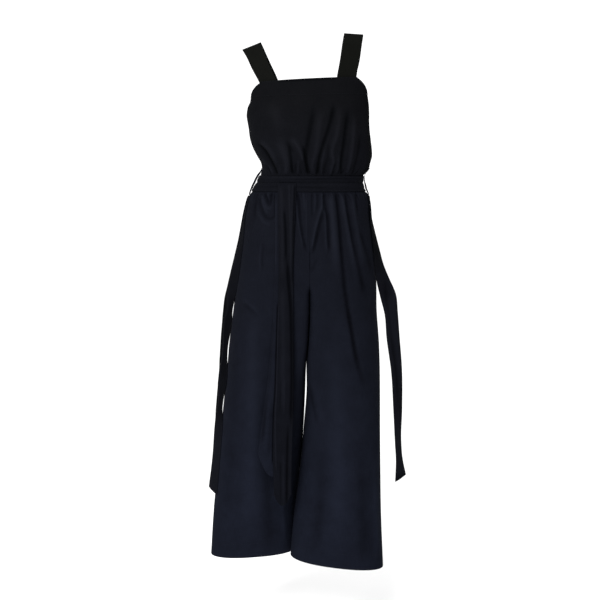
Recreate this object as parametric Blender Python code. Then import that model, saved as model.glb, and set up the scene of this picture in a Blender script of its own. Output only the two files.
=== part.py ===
"""Sleeveless wide-leg jumpsuit with a square bib neck, wide shoulder straps, a gathered waist,
a sash wound twice round the waist and a long tie at each side, held out as it is worn.

Frame: metres, +Z up, -Y is the garment's front, +X is the wearer's left.
The origin is midway between the tops of the two shoulder straps, where the wearer carries it.
Run with: blender --background --python part.py
"""

from collections import namedtuple

import bmesh
import bpy
import numpy as np

# ---------------------------------------------------------------- driving sizes, in metres

CLOTH = 0.0014  # wall of one layer of cloth with its seam allowance
DOUBLE_CLOTH = 0.0020  # straps and bib band, sewn double
SASH_CLOTH = 0.0015
SEAM_GAP = 0.0003  # space left between pieces that are sewn together

WAIST_Z = -0.368  # the seam between bodice and trousers, under the sash
BAND_BOTTOM_Z = -0.1455
BAND_TOP_Z = -0.1041  # at x = 0
BAND_TOP_SLOPE = 0.050  # the bib stands a little higher at the wearer's left
SHAPED_ABOVE_Z = -0.262  # above here the bodice's rows follow its top edge
SHAPED_BELOW_Z = -1.110  # below here the trousers' rows follow the hem

RISE_CURVES_FROM_Z = -0.530  # where the front and back rise begin to turn under the body
CROTCH_Z = -0.690
LEGS_PART_FROM_Z = -0.470  # over this height one section round the body becomes two round the legs
LEGS_PART_TO_Z = -0.800

TIE_WIDTH = 0.050
LOOP_WIDTH = 0.009

SQUARENESS = 2.25  # a section's superellipse exponent: 2 is an ellipse, more has squarer corners
SEAM_TURN = np.radians(0.1)  # half a seam's gap round the bodice
SEAM_SHARE = 0.0007  # the same, as a share of a trouser panel's width
BAND_STAND = 0.0004  # how far the bib band stands out from the bodice's form
STRAP_ROOM = 0.0012  # left between a strap's sewn end and the cloth that it is sewn to
RISE_CURVE = 1.5  # the power by which the rise turns under, slowly at first
RISE_PULL = 6  # the power by which a panel's edge is drawn to its rise, near the edge alone

# ---------------------------------------------------------------- sections

BodySection = namedtuple("BodySection", "z right_x centre_x left_x front_y back_y")
BODY = (
    BodySection(-0.085, -0.1385, 0.0120, 0.1715, -0.0790, 0.0880),
    BodySection(-0.101, -0.1400, 0.0123, 0.1725, -0.0850, 0.0900),
    BodySection(-0.131, -0.1420, 0.0128, 0.1732, -0.0955, 0.0950),
    BodySection(-0.162, -0.1432, 0.0132, 0.1717, -0.1055, 0.0985),
    BodySection(-0.190, -0.1455, 0.0136, 0.1702, -0.1135, 0.1005),
    BodySection(-0.223, -0.1405, 0.0140, 0.1710, -0.1190, 0.1005),
    BodySection(-0.254, -0.1360, 0.0143, 0.1745, -0.1215, 0.0995),
    BodySection(-0.279, -0.1270, 0.0145, 0.1775, -0.1210, 0.0975),
    BodySection(-0.295, -0.1185, 0.0146, 0.1780, -0.1190, 0.0955),
    BodySection(-0.313, -0.1085, 0.0147, 0.1735, -0.1140, 0.0920),
    BodySection(-0.330, -0.1064, 0.0148, 0.1685, -0.1045, 0.0870),
    BodySection(-0.344, -0.1098, 0.0149, 0.1562, -0.0935, 0.0818),
    BodySection(-0.356, -0.1138, 0.0150, 0.1524, -0.0880, 0.0795),
    BodySection(-0.368, -0.1195, 0.0150, 0.1532, -0.0875, 0.0800),
    BodySection(-0.380, -0.1274, 0.0151, 0.1560, -0.0915, 0.0840),
    BodySection(-0.392, -0.1350, 0.0152, 0.1660, -0.0985, 0.0920),
    BodySection(-0.408, -0.1408, 0.0153, 0.1712, -0.1045, 0.1000),
    BodySection(-0.439, -0.1490, 0.0156, 0.1732, -0.1100, 0.1105),
    BodySection(-0.499, -0.1565, 0.0162, 0.1812, -0.1145, 0.1230),
    BodySection(-0.562, -0.1644, 0.0165, 0.1872, -0.1160, 0.1290),
)

# Below the body each leg has its own sections. The inner side is squarer where the legs meet, and
# rounder where one passes behind the other.
LegSection = namedtuple(
    "LegSection", "z outer_x inner_x front_y back_y inner_front_squareness inner_back_squareness"
)
RIGHT_LEG = (
    LegSection(-0.620, -0.1726, 0.0166, -0.1155, 0.1285, 10.0, 8.0),
    LegSection(-0.690, -0.1818, 0.0165, -0.1135, 0.1250, 10.0, 8.0),
    LegSection(-0.780, -0.1935, 0.0127, -0.1070, 0.1200, 10.0, 7.0),
    LegSection(-0.833, -0.1985, 0.0081, -0.1020, 0.1175, 8.0, 4.4),
    LegSection(-0.907, -0.2062, 0.0056, -0.0940, 0.1145, 5.4, 3.4),
    LegSection(-0.990, -0.2149, 0.0020, -0.0852, 0.1120, 4.0, 2.7),
    LegSection(-1.110, -0.2265, -0.0060, -0.0715, 0.1095, 3.0, 2.2),
    LegSection(-1.218, -0.2380, -0.0125, -0.0580, 0.1080, 2.7, 2.05),
    LegSection(-1.370, -0.2490, -0.0205, -0.0420, 0.1080, 2.6, 2.0),
)
LEFT_LEG = (
    LegSection(-0.620, 0.1912, 0.0169, -0.1158, 0.1275, 10.0, 8.0),
    LegSection(-0.690, 0.1925, 0.0171, -0.1145, 0.1225, 10.0, 8.0),
    LegSection(-0.780, 0.1988, 0.0133, -0.1145, 0.1090, 10.0, 7.0),
    LegSection(-0.833, 0.2008, 0.0092, -0.1150, 0.1015, 8.0, 4.4),
    LegSection(-0.907, 0.2018, 0.0092, -0.1160, 0.0900, 5.0, 3.4),
    LegSection(-0.990, 0.2020, 0.0025, -0.1172, 0.0776, 3.6, 2.3),
    LegSection(-1.110, 0.2032, -0.0084, -0.1190, 0.0600, 2.6, 1.8),
    LegSection(-1.218, 0.2050, -0.0225, -0.1205, 0.0455, 2.4, 1.7),
    LegSection(-1.370, 0.2112, -0.0360, -0.1225, 0.0320, 2.3, 1.7),
)

Hem = namedtuple("Hem", "outer_z inner_z")
RIGHT_HEM = Hem(-1.356, -1.338)
LEFT_HEM = Hem(-1.366, -1.336)

# The bodice's top edge: heights by the angle round the body, 0 at the centre front and 90 at the side.
EdgePoint = namedtuple("EdgePoint", "degrees z")
FRONT_EDGE = (
    EdgePoint(-90, -0.1920),
    EdgePoint(-83, -0.1890),
    EdgePoint(-75, -0.1810),
    EdgePoint(-69.5, -0.1680),
    EdgePoint(-66.5, -0.1493),
    EdgePoint(0, BAND_BOTTOM_Z),
    EdgePoint(67, -0.1410),
    EdgePoint(72, -0.1580),
    EdgePoint(80, -0.1810),
    EdgePoint(90, -0.1950),
)
BACK_EDGE = (
    EdgePoint(90, -0.1950),
    EdgePoint(98, -0.1760),
    EdgePoint(110, -0.1580),
    EdgePoint(125, -0.1500),
    EdgePoint(235, -0.1500),
    EdgePoint(250, -0.1540),
    EdgePoint(262, -0.1690),
    EdgePoint(270, -0.1920),
)

# The bib band's two ends at the armholes, from its foot, 0, to the neckline, 1.
BandEnd = namedtuple("BandEnd", "up right_degrees left_degrees")
BAND_ENDS = (
    BandEnd(0.00, -66.5, 67.0),
    BandEnd(0.25, -65.5, 65.1),
    BandEnd(0.50, -61.8, 60.8),
    BandEnd(0.75, -55.5, 54.7),
    BandEnd(1.00, -47.0, 47.0),
)

# ---------------------------------------------------------------- folds

# Each fold runs from its upper to its lower end with a sideways bow, and is deepest at a share
# of the way down. A ridge stands out by its height and a trough has a negative one.
Fold = namedtuple("Fold", "top_x top_z foot_x foot_z bow width height deepest")
BODICE_FRONT_FOLDS = (
    Fold(0.033, -0.150, 0.013, -0.345, -0.012, 0.011, -0.0060, 0.80),
    Fold(0.054, -0.151, 0.023, -0.345, -0.008, 0.011, 0.0045, 0.80),
    Fold(0.075, -0.172, 0.035, -0.345, 0.000, 0.010, -0.0060, 0.75),
    Fold(0.094, -0.172, 0.064, -0.345, 0.000, 0.011, 0.0048, 0.80),
    Fold(0.116, -0.190, 0.094, -0.345, -0.005, 0.009, -0.0055, 0.70),
    Fold(0.131, -0.190, 0.110, -0.345, 0.004, 0.009, 0.0040, 0.80),
    Fold(0.150, -0.240, 0.126, -0.345, 0.003, 0.007, -0.0035, 0.85),
    Fold(0.058, -0.290, 0.050, -0.345, 0.000, 0.006, -0.0030, 0.90),
    Fold(0.084, -0.290, 0.078, -0.345, 0.000, 0.006, -0.0030, 0.90),
    Fold(-0.118, -0.258, -0.068, -0.345, 0.011, 0.010, -0.0060, 0.85),
    Fold(-0.113, -0.278, -0.083, -0.345, 0.005, 0.007, 0.0040, 0.80),
    Fold(-0.075, -0.195, -0.047, -0.345, 0.006, 0.014, 0.0042, 0.85),
    Fold(-0.033, -0.272, -0.024, -0.345, 0.000, 0.007, -0.0045, 0.90),
    Fold(-0.036, -0.250, 0.005, -0.345, 0.010, 0.009, 0.0040, 0.75),
    Fold(-0.012, -0.300, -0.013, -0.345, 0.000, 0.006, -0.0035, 0.90),
    Fold(-0.080, -0.145, -0.055, -0.262, 0.004, 0.015, 0.0025, 0.50),
)
BODICE_BACK_FOLDS = (
    Fold(-0.100, -0.250, -0.078, -0.345, 0.006, 0.009, -0.0050, 0.85),
    Fold(-0.072, -0.205, -0.056, -0.345, 0.003, 0.011, 0.0040, 0.80),
    Fold(-0.046, -0.235, -0.036, -0.345, 0.000, 0.009, -0.0050, 0.85),
    Fold(-0.020, -0.190, -0.015, -0.345, 0.002, 0.011, 0.0042, 0.80),
    Fold(0.004, -0.225, 0.006, -0.345, 0.000, 0.009, -0.0048, 0.85),
    Fold(0.036, -0.205, 0.029, -0.345, -0.002, 0.011, 0.0042, 0.80),
    Fold(0.061, -0.240, 0.051, -0.345, 0.000, 0.009, -0.0050, 0.85),
    Fold(0.090, -0.215, 0.074, -0.345, -0.003, 0.010, 0.0042, 0.80),
    Fold(0.124, -0.245, 0.100, -0.345, -0.006, 0.009, -0.0050, 0.85),
)
TROUSER_FRONT_FOLDS = (
    Fold(-0.108, -0.388, -0.121, -0.480, 0.000, 0.007, -0.0040, 0.10),
    Fold(-0.097, -0.388, -0.105, -0.470, 0.000, 0.006, 0.0035, 0.15),
    Fold(-0.086, -0.386, -0.086, -0.436, 0.000, 0.008, -0.0060, 0.30),
    Fold(-0.118, -0.410, -0.090, -0.450, -0.006, 0.008, 0.0030, 0.60),
    Fold(-0.013, -0.388, 0.012, -0.540, -0.002, 0.006, -0.0045, 0.30),
    Fold(0.004, -0.388, 0.006, -0.512, 0.000, 0.006, 0.0040, 0.40),
    Fold(0.022, -0.386, 0.024, -0.432, 0.000, 0.005, -0.0030, 0.10),
    Fold(0.047, -0.410, 0.019, -0.518, 0.002, 0.008, 0.0042, 0.45),
    Fold(0.045, -0.445, 0.019, -0.555, 0.002, 0.007, -0.0042, 0.50),
    Fold(0.052, -0.386, 0.066, -0.525, 0.003, 0.008, -0.0045, 0.15),
    Fold(0.067, -0.386, 0.084, -0.600, 0.002, 0.010, 0.0045, 0.20),
    Fold(0.082, -0.386, 0.160, -0.960, -0.007, 0.011, -0.0065, 0.35),
    Fold(0.097, -0.388, 0.140, -0.640, 0.000, 0.010, 0.0045, 0.25),
    Fold(0.109, -0.388, 0.168, -0.665, -0.003, 0.009, -0.0052, 0.30),
    Fold(0.126, -0.392, 0.152, -0.560, 0.000, 0.008, 0.0038, 0.25),
    Fold(0.133, -0.388, 0.141, -0.450, 0.000, 0.006, -0.0038, 0.10),
    Fold(0.156, -0.500, 0.174, -0.580, 0.000, 0.007, -0.0035, 0.50),
    Fold(-0.154, -0.660, -0.113, -0.710, 0.000, 0.008, -0.0032, 0.50),
    Fold(-0.128, -0.520, -0.140, -1.340, 0.004, 0.022, 0.0045, 0.60),
    Fold(-0.166, -0.600, -0.197, -1.260, 0.000, 0.015, -0.0035, 0.50),
    Fold(-0.100, -0.820, -0.085, -1.345, 0.000, 0.014, -0.0045, 0.65),
    Fold(0.019, -0.875, 0.042, -0.985, 0.000, 0.009, -0.0032, 0.50),
    Fold(0.075, -0.640, 0.088, -1.340, 0.006, 0.022, 0.0045, 0.60),
    Fold(0.056, -0.980, 0.034, -1.340, 0.000, 0.014, -0.0038, 0.60),
    Fold(0.146, -0.960, 0.158, -1.350, 0.000, 0.015, -0.0038, 0.60),
)
TROUSER_BACK_FOLDS = (
    Fold(-0.096, -0.386, -0.113, -0.470, 0.000, 0.009, -0.0048, 0.15),
    Fold(-0.074, -0.386, -0.090, -0.540, 0.000, 0.010, 0.0042, 0.20),
    Fold(-0.051, -0.386, -0.058, -0.480, 0.000, 0.009, -0.0050, 0.15),
    Fold(-0.028, -0.386, -0.034, -0.510, 0.000, 0.009, 0.0040, 0.20),
    Fold(-0.006, -0.386, -0.006, -0.450, 0.000, 0.007, -0.0038, 0.15),
    Fold(0.036, -0.386, 0.040, -0.470, 0.000, 0.008, -0.0045, 0.15),
    Fold(0.058, -0.386, 0.066, -0.530, 0.000, 0.010, 0.0042, 0.20),
    Fold(0.082, -0.386, 0.096, -0.490, 0.000, 0.009, -0.0050, 0.15),
    Fold(0.107, -0.386, 0.126, -0.550, 0.000, 0.010, 0.0042, 0.20),
    Fold(0.131, -0.386, 0.148, -0.460, 0.000, 0.008, -0.0042, 0.15),
    Fold(-0.150, -0.600, -0.040, -0.740, -0.010, 0.013, -0.0050, 0.60),
    Fold(0.168, -0.600, 0.066, -0.740, 0.010, 0.013, -0.0050, 0.60),
    Fold(-0.090, -0.640, -0.118, -1.345, 0.006, 0.022, 0.0050, 0.60),
    Fold(-0.160, -0.760, -0.185, -1.345, 0.000, 0.016, -0.0045, 0.60),
    Fold(-0.050, -0.900, -0.060, -1.340, 0.000, 0.015, -0.0045, 0.65),
    Fold(0.105, -0.640, 0.095, -1.345, 0.006, 0.022, 0.0050, 0.60),
    Fold(0.166, -0.780, 0.164, -1.350, 0.000, 0.016, -0.0045, 0.60),
    Fold(0.058, -0.900, 0.032, -1.340, 0.000, 0.015, -0.0045, 0.65),
)
PRESSED_FROM_Z = -0.3435  # folds are pressed nearly flat under the sash
PRESSED_TO_Z = -0.3870
PRESSED_SHARE = 0.12
PRESSED_FADE = 0.014
SIDEWAYS_FADE = 0.35  # folds fade where the cloth turns away from the front or the back
FOLD_END = 0.1  # how far past its ends a fold runs out, as a share of its length
BODICE_SEAM_FADE = np.radians(6)  # folds fade over this turn from a side seam
TROUSER_SEAM_FADE = 0.035  # and over this share of a panel from its seams

# ---------------------------------------------------------------- sash, loops, ties and straps

# A wound turn of the sash: how far its outer face stands out from the garment at each height.
SashRing = namedtuple("SashRing", "z stand")
UPPER_TURN = (
    SashRing(-0.3632, 0.0026),
    SashRing(-0.3590, 0.0044),
    SashRing(-0.3515, 0.0046),
    SashRing(-0.3455, 0.0026),
)
LOWER_TURN = (
    SashRing(-0.3860, 0.0027),
    SashRing(-0.3815, 0.0037),
    SashRing(-0.3700, 0.0039),
    SashRing(-0.3638, 0.0026),
)

SashStation = namedtuple("SashStation", "right_x right_z left_x left_z stand")
LONG_END = (
    SashStation(-0.0640, -0.3640, -0.0180, -0.3640, 0.0062),
    SashStation(-0.0638, -0.3750, -0.0182, -0.3750, 0.0066),
    SashStation(-0.0635, -0.3900, -0.0186, -0.3900, 0.0070),
    SashStation(-0.0628, -0.4200, -0.0200, -0.4200, 0.0066),
    SashStation(-0.0614, -0.5050, -0.0238, -0.5050, 0.0060),
    SashStation(-0.0614, -0.5900, -0.0256, -0.5900, 0.0060),
    SashStation(-0.0638, -0.6860, -0.0256, -0.6860, 0.0062),
    SashStation(-0.0672, -0.8080, -0.0246, -0.8080, 0.0062),
    SashStation(-0.0698, -0.8850, -0.0245, -0.8850, 0.0064),
    SashStation(-0.0732, -0.9400, -0.0258, -0.9400, 0.0066),
    SashStation(-0.0757, -1.0140, -0.0284, -1.0140, 0.0066),
    SashStation(-0.0762, -1.0790, -0.0300, -1.0790, 0.0064),
    SashStation(-0.0738, -1.1600, -0.0308, -1.1560, 0.0062),
)
SHORT_END = (
    SashStation(-0.0705, -0.3876, -0.0230, -0.3876, 0.0036),
    SashStation(-0.0705, -0.4000, -0.0232, -0.4000, 0.0042),
    SashStation(-0.0704, -0.4200, -0.0235, -0.4200, 0.0038),
    SashStation(-0.0706, -0.5050, -0.0245, -0.5050, 0.0027),
    SashStation(-0.0720, -0.6000, -0.0255, -0.6000, 0.0027),
    SashStation(-0.0755, -0.6860, -0.0280, -0.6860, 0.0026),
    SashStation(-0.0820, -0.7800, -0.0340, -0.7800, 0.0024),
    SashStation(-0.0900, -0.8680, -0.0410, -0.8680, 0.0020),
    SashStation(-0.1050, -0.9710, -0.0540, -0.9710, 0.0014),
    SashStation(-0.1150, -1.0560, -0.0640, -1.1020, 0.0010),
)
SASH_TIP = 0.028  # how far a free end's point reaches below its corners
SASH_BOW = 0.0014  # how far a free end's middle stands out from its edges

# A belt loop: how far its front and back edges stand out from the garment's side.
LoopStation = namedtuple("LoopStation", "z front_stand back_stand")
RIGHT_LOOP = (
    LoopStation(-0.3270, 0.0018, 0.0020),
    LoopStation(-0.3330, 0.0020, 0.0042),
    LoopStation(-0.3400, 0.0034, 0.0084),
    LoopStation(-0.3463, 0.0056, 0.0106),
    LoopStation(-0.3540, 0.0072, 0.0122),
    LoopStation(-0.3617, 0.0074, 0.0124),
    LoopStation(-0.3695, 0.0076, 0.0124),
    LoopStation(-0.3772, 0.0062, 0.0104),
    LoopStation(-0.3850, 0.0050, 0.0080),
    LoopStation(-0.3915, 0.0030, 0.0056),
    LoopStation(-0.3960, 0.0018, 0.0030),
)
LEFT_LOOP = (
    LoopStation(-0.3270, 0.0018, 0.0020),
    LoopStation(-0.3330, 0.0018, 0.0020),
    LoopStation(-0.3400, 0.0024, 0.0028),
    LoopStation(-0.3463, 0.0047, 0.0051),
    LoopStation(-0.3540, 0.0065, 0.0075),
    LoopStation(-0.3617, 0.0065, 0.0090),
    LoopStation(-0.3695, 0.0070, 0.0106),
    LoopStation(-0.3772, 0.0070, 0.0108),
    LoopStation(-0.3850, 0.0054, 0.0086),
    LoopStation(-0.3915, 0.0030, 0.0052),
    LoopStation(-0.3960, 0.0018, 0.0030),
)

# A side tie: how far its front and back edges stand out from the trousers' side.
TieStation = namedtuple("TieStation", "z front_stand back_stand middle_y width_share")
RIGHT_TIE = (
    TieStation(-0.3975, 0.0018, 0.0058, -0.008, 0.60),
    TieStation(-0.4200, 0.0018, 0.0050, -0.006, 0.70),
    TieStation(-0.4400, 0.0018, 0.0052, -0.006, 0.82),
    TieStation(-0.5000, 0.0018, 0.0108, -0.008, 1.00),
    TieStation(-0.5640, 0.0018, 0.0180, -0.010, 1.00),
    TieStation(-0.6350, 0.0018, 0.0262, -0.010, 1.00),
    TieStation(-0.6650, 0.0024, 0.0284, -0.004, 1.00),
    TieStation(-0.6950, 0.0036, 0.0284, 0.004, 1.00),
    TieStation(-0.7180, 0.0024, 0.0274, -0.003, 1.00),
    TieStation(-0.7500, 0.0026, 0.0260, -0.002, 1.00),
    TieStation(-0.7850, 0.0040, 0.0248, 0.006, 1.00),
    TieStation(-0.8150, 0.0038, 0.0240, 0.006, 1.00),
    TieStation(-0.8480, 0.0020, 0.0230, -0.004, 1.00),
    TieStation(-0.8810, 0.0018, 0.0224, -0.008, 1.00),
    TieStation(-0.9140, 0.0030, 0.0216, 0.004, 1.00),
    TieStation(-0.9500, 0.0040, 0.0210, 0.010, 1.00),
    TieStation(-0.9900, 0.0018, 0.0206, 0.002, 1.00),
    TieStation(-1.0935, 0.0018, 0.0195, 0.006, 1.00),
    TieStation(-1.1860, 0.0018, 0.0190, 0.010, 1.00),
)
LEFT_TIE = (
    TieStation(-0.3975, 0.0034, 0.0040, -0.016, 0.60),
    TieStation(-0.4240, 0.0036, 0.0038, -0.016, 0.70),
    TieStation(-0.4550, 0.0038, 0.0046, -0.016, 0.85),
    TieStation(-0.5020, 0.0038, 0.0090, -0.016, 1.00),
    TieStation(-0.5370, 0.0038, 0.0158, -0.016, 1.00),
    TieStation(-0.5740, 0.0034, 0.0225, -0.014, 1.00),
    TieStation(-0.6090, 0.0026, 0.0330, -0.011, 0.98),
    TieStation(-0.6580, 0.0105, 0.0520, -0.004, 0.98),
    TieStation(-0.7050, 0.0212, 0.0565, -0.001, 1.00),
    TieStation(-0.7630, 0.0215, 0.0565, -0.003, 1.00),
    TieStation(-0.8540, 0.0305, 0.0605, -0.006, 1.00),
    TieStation(-0.9570, 0.0360, 0.0612, -0.010, 1.00),
    TieStation(-1.0445, 0.0400, 0.0590, -0.014, 1.00),
    TieStation(-1.0860, 0.0420, 0.0615, -0.016, 1.00),
    TieStation(-1.1450, 0.0395, 0.0705, -0.018, 1.00),
)
TIE_END_SLANT = 0.010  # a tie's outer corner ends this much higher than its inner one
TIE_BOW = 0.0022  # how far a tie's middle stands out from its edges

StrapSewn = namedtuple("StrapSewn", "right_x right_z left_x left_z")
StrapStation = namedtuple("StrapStation", "right_x right_y right_z left_x left_y left_z")
RIGHT_STRAP_FRONT = (
    StrapSewn(-0.1005, -0.1370, -0.0590, -0.1330),
    StrapSewn(-0.1110, -0.1130, -0.0685, -0.1080),
)
RIGHT_STRAP = (
    StrapStation(-0.1295, -0.0430, -0.0750, -0.0890, -0.0600, -0.0625),
    StrapStation(-0.1430, -0.0270, -0.0455, -0.1018, -0.0350, -0.0290),
    StrapStation(-0.1533, -0.0100, -0.0275, -0.1086, -0.0120, -0.0085),
    StrapStation(-0.1553, 0.0080, -0.0235, -0.1091, 0.0080, -0.0055),
    StrapStation(-0.1490, 0.0280, -0.0330, -0.1052, 0.0290, -0.0130),
    StrapStation(-0.1330, 0.0520, -0.0630, -0.0900, 0.0590, -0.0460),
    StrapStation(-0.1120, 0.0700, -0.1060, -0.0660, 0.0790, -0.0980),
)
RIGHT_STRAP_BACK = (
    StrapSewn(-0.0975, -0.1500, -0.0505, -0.1500),
    StrapSewn(-0.0930, -0.1720, -0.0460, -0.1720),
)
LEFT_STRAP_FRONT = (
    StrapSewn(0.0810, -0.1270, 0.1290, -0.1270),
    StrapSewn(0.0856, -0.1010, 0.1332, -0.1000),
)
LEFT_STRAP = (
    StrapStation(0.0935, -0.0620, -0.0560, 0.1418, -0.0430, -0.0590),
    StrapStation(0.1000, -0.0360, -0.0130, 0.1480, -0.0270, -0.0180),
    StrapStation(0.1050, -0.0120, 0.0145, 0.1525, -0.0100, 0.0110),
    StrapStation(0.1060, 0.0080, 0.0176, 0.1530, 0.0080, 0.0145),
    StrapStation(0.1060, 0.0290, 0.0120, 0.1520, 0.0280, 0.0080),
    StrapStation(0.1015, 0.0590, -0.0240, 0.1470, 0.0510, -0.0300),
    StrapStation(0.0940, 0.0770, -0.0800, 0.1400, 0.0650, -0.0830),
)
LEFT_STRAP_BACK = (
    StrapSewn(0.0850, -0.1500, 0.1310, -0.1500),
    StrapSewn(0.0810, -0.1720, 0.1270, -0.1720),
)

# ---------------------------------------------------------------- mesh density

BODICE_HEIGHTS = (-0.358, -0.347, -0.337, -0.325, -0.308, -0.285, SHAPED_ABOVE_Z, -0.225, -0.186)
TROUSER_HEIGHTS = (
    -0.378, -0.388, -0.400, -0.420, -0.450, -0.492, RISE_CURVES_FROM_Z, -0.573, -0.612,
    -0.645, -0.672, CROTCH_Z, -0.740, -0.810, -0.900, -1.000, SHAPED_BELOW_Z, -1.230,
)
FRONT_COLUMNS = 56
BACK_COLUMNS = 38
ARMHOLE_COLUMNS = 5
TROUSER_FRONT_COLUMNS = 28
TROUSER_BACK_COLUMNS = 20
TURN_COLUMNS = 40
BAND_COLUMNS = 24
RIBBON_COLUMNS = 3
LOOP_COLUMNS = 2
LONG_END_ROWS = 42
SHORT_END_ROWS = 40
TIE_ROWS = 40
STRAP_ROWS = 26
LOOP_ROWS = 14
PANEL_SAMPLES = 80  # points along a section, where its depth or reach is looked up
HALF_TURN_SAMPLES = 181
HANG_SAMPLES = 20  # heights at which a hanging strip is kept clear of the belly
SIDE_REACH = 0.45  # how much of a panel, from its side seam, a tie can hang beside
SHARP_ANGLE = np.radians(50)

FRONT, BACK = 1, -1
RIGHT, LEFT = -1, 1

# ---------------------------------------------------------------- surfaces


def smooth(rows, column, z):
    """A table's column at heights z, on a smooth curve through its rows."""
    heights = np.array([row.z for row in rows])[::-1]
    values = np.array([getattr(row, column) for row in rows])[::-1]
    slopes = np.gradient(values, heights)
    z = np.clip(z, heights[0], heights[-1])
    i = np.clip(np.searchsorted(heights, z) - 1, 0, len(heights) - 2)
    span = heights[i + 1] - heights[i]
    t = (z - heights[i]) / span
    return (
        (2 * t**3 - 3 * t**2 + 1) * values[i]
        + (t**3 - 2 * t**2 + t) * span * slopes[i]
        + (3 * t**2 - 2 * t**3) * values[i + 1]
        + (t**3 - t**2) * span * slopes[i + 1]
    )


def ease(t):
    """0 to 1, level at both ends."""
    t = np.clip(t, 0.0, 1.0)
    return t * t * (3.0 - 2.0 * t)


def mix(a, b, t):
    return a + (b - a) * t


def stretch(angle, squareness):
    """How much further a superellipse reaches than the ellipse in its sides, at a polar angle."""
    powers = abs(np.cos(angle)) ** squareness + abs(np.sin(angle)) ** squareness
    return powers ** (-1.0 / squareness)


def body_point(angle, z):
    """A point round the body. Angle 0 is the centre front, and a quarter turn the wearer's left side."""
    centre = smooth(BODY, "centre_x", z)
    to_left = smooth(BODY, "left_x", z) - centre
    to_right = centre - smooth(BODY, "right_x", z)
    half = np.where(np.sin(angle) >= 0, to_left, to_right)
    depth = np.where(np.cos(angle) >= 0, -smooth(BODY, "front_y", z), smooth(BODY, "back_y", z))
    reach = stretch(angle, SQUARENESS)
    x = centre + half * np.sin(angle) * reach
    y = -depth * np.cos(angle) * reach
    return np.stack([x, y, z + 0.0 * x], axis=-1)


def side_sections(side):
    """One side of the trousers from top to hem: the body's sections, then the leg's."""
    squareness = RIGHT_LEG[0].inner_front_squareness
    hips = tuple(
        LegSection(
            row.z, row.right_x if side == RIGHT else row.left_x, row.centre_x,
            row.front_y, row.back_y, squareness, squareness,
        )
        for row in BODY
    )
    return hips + (RIGHT_LEG if side == RIGHT else LEFT_LEG)


def trouser_point(side, facing, across, z):
    """A point of the plain trousers, from the side seam, across 0, to the rise and then the inseam, 1.

    The section's centre moves out from the body's to the leg's, while the panel's inner edge
    runs on round the section from the centre front or back to the inside of the leg.
    """
    sections = side_sections(side)
    outer, inner = smooth(sections, "outer_x", z), smooth(sections, "inner_x", z)
    front, back = smooth(sections, "front_y", z), smooth(sections, "back_y", z)
    parted = ease((LEGS_PART_FROM_Z - z) / (LEGS_PART_FROM_Z - LEGS_PART_TO_Z))
    curved = np.clip((RISE_CURVES_FROM_Z - z) / (RISE_CURVES_FROM_Z - CROTCH_Z), 0.0, 1.0) ** RISE_CURVE
    centre_x = mix(inner, (outer + inner) / 2, parted)
    centre_y = mix(0.0, (front + back) / 2, parted)
    depth = centre_y - front if facing == FRONT else back - centre_y
    end = np.pi / 2 * (1.0 + curved)
    angle = end * across
    past_centre = np.cos(angle) < 0
    inner_squareness = smooth(
        sections, "inner_front_squareness" if facing == FRONT else "inner_back_squareness", z
    )
    squareness = np.where(past_centre, inner_squareness, SQUARENESS)
    half = np.where(past_centre, centre_x - inner, outer - centre_x)
    reach = stretch(angle, squareness)
    short_of_rise = (inner - centre_x) * (1.0 + np.cos(end) * stretch(end, inner_squareness))
    x = centre_x + half * np.cos(angle) * reach + short_of_rise * np.maximum(across, 0.0) ** RISE_PULL
    y = centre_y - facing * depth * np.sin(angle) * reach
    return np.stack([x, y, z + 0.0 * x], axis=-1)


def fold_height(folds, x, z):
    """How far the folds move the cloth out at x and z."""
    total = np.zeros(np.broadcast(x, z).shape)
    for fold in folds:
        down = (fold.top_z - z) / (fold.top_z - fold.foot_z)
        inside = np.clip(down, 0.0, 1.0)
        line = mix(fold.top_x, fold.foot_x, inside) + fold.bow * 4 * inside * (1 - inside)
        reach = max(fold.deepest, 1.0 - fold.deepest) + FOLD_END
        strength = ease(1.0 - abs(down - fold.deepest) / reach)
        total += fold.height * strength * np.exp(-(((x - line) / fold.width) ** 2))
    pressed = ease((PRESSED_FROM_Z + PRESSED_FADE - z) / PRESSED_FADE)
    pressed *= ease((z - PRESSED_TO_Z + PRESSED_FADE) / PRESSED_FADE)
    return total * mix(1.0, PRESSED_SHARE, pressed)


def outward(surface, u, v, step=1e-4):
    """Unit normals of surface(u, v), by small steps along it."""
    along = surface(u + step, v) - surface(u - step, v)
    up = surface(u, v + step) - surface(u, v - step)
    cross = np.cross(along, up)
    return cross / np.linalg.norm(cross, axis=-1, keepdims=True)


def folded(surface, folds, seam_fade):
    """The surface with its folds, which fade out towards its seams."""

    def with_folds(u, v):
        point = surface(u, v)
        normal = outward(surface, u, v)
        facing = ease(abs(normal[..., 1]) / SIDEWAYS_FADE)
        height = fold_height(folds, point[..., 0], point[..., 2]) * seam_fade(u) * facing
        return point + normal * height[..., None]

    return with_folds


def bodice_surface(folds, middle):
    """The bodice by angle and height, on the front, middle 0, or the back, middle half a turn."""
    return folded(
        body_point, folds, lambda angle: ease((np.pi / 2 - abs(angle - middle)) / BODICE_SEAM_FADE)
    )


def trouser_surface(side, facing):
    """One trouser panel. Its u runs so that u and z always turn outwards."""
    folds = TROUSER_FRONT_FOLDS if facing == FRONT else TROUSER_BACK_FOLDS
    from_side = side == RIGHT if facing == FRONT else side == LEFT

    def plain(u, z):
        return trouser_point(side, facing, u if from_side else 1.0 - u, z)

    return folded(
        plain, folds, lambda u: ease(u / TROUSER_SEAM_FADE) * ease((1.0 - u) / TROUSER_SEAM_FADE)
    )


# ---------------------------------------------------------------- solids


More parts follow.
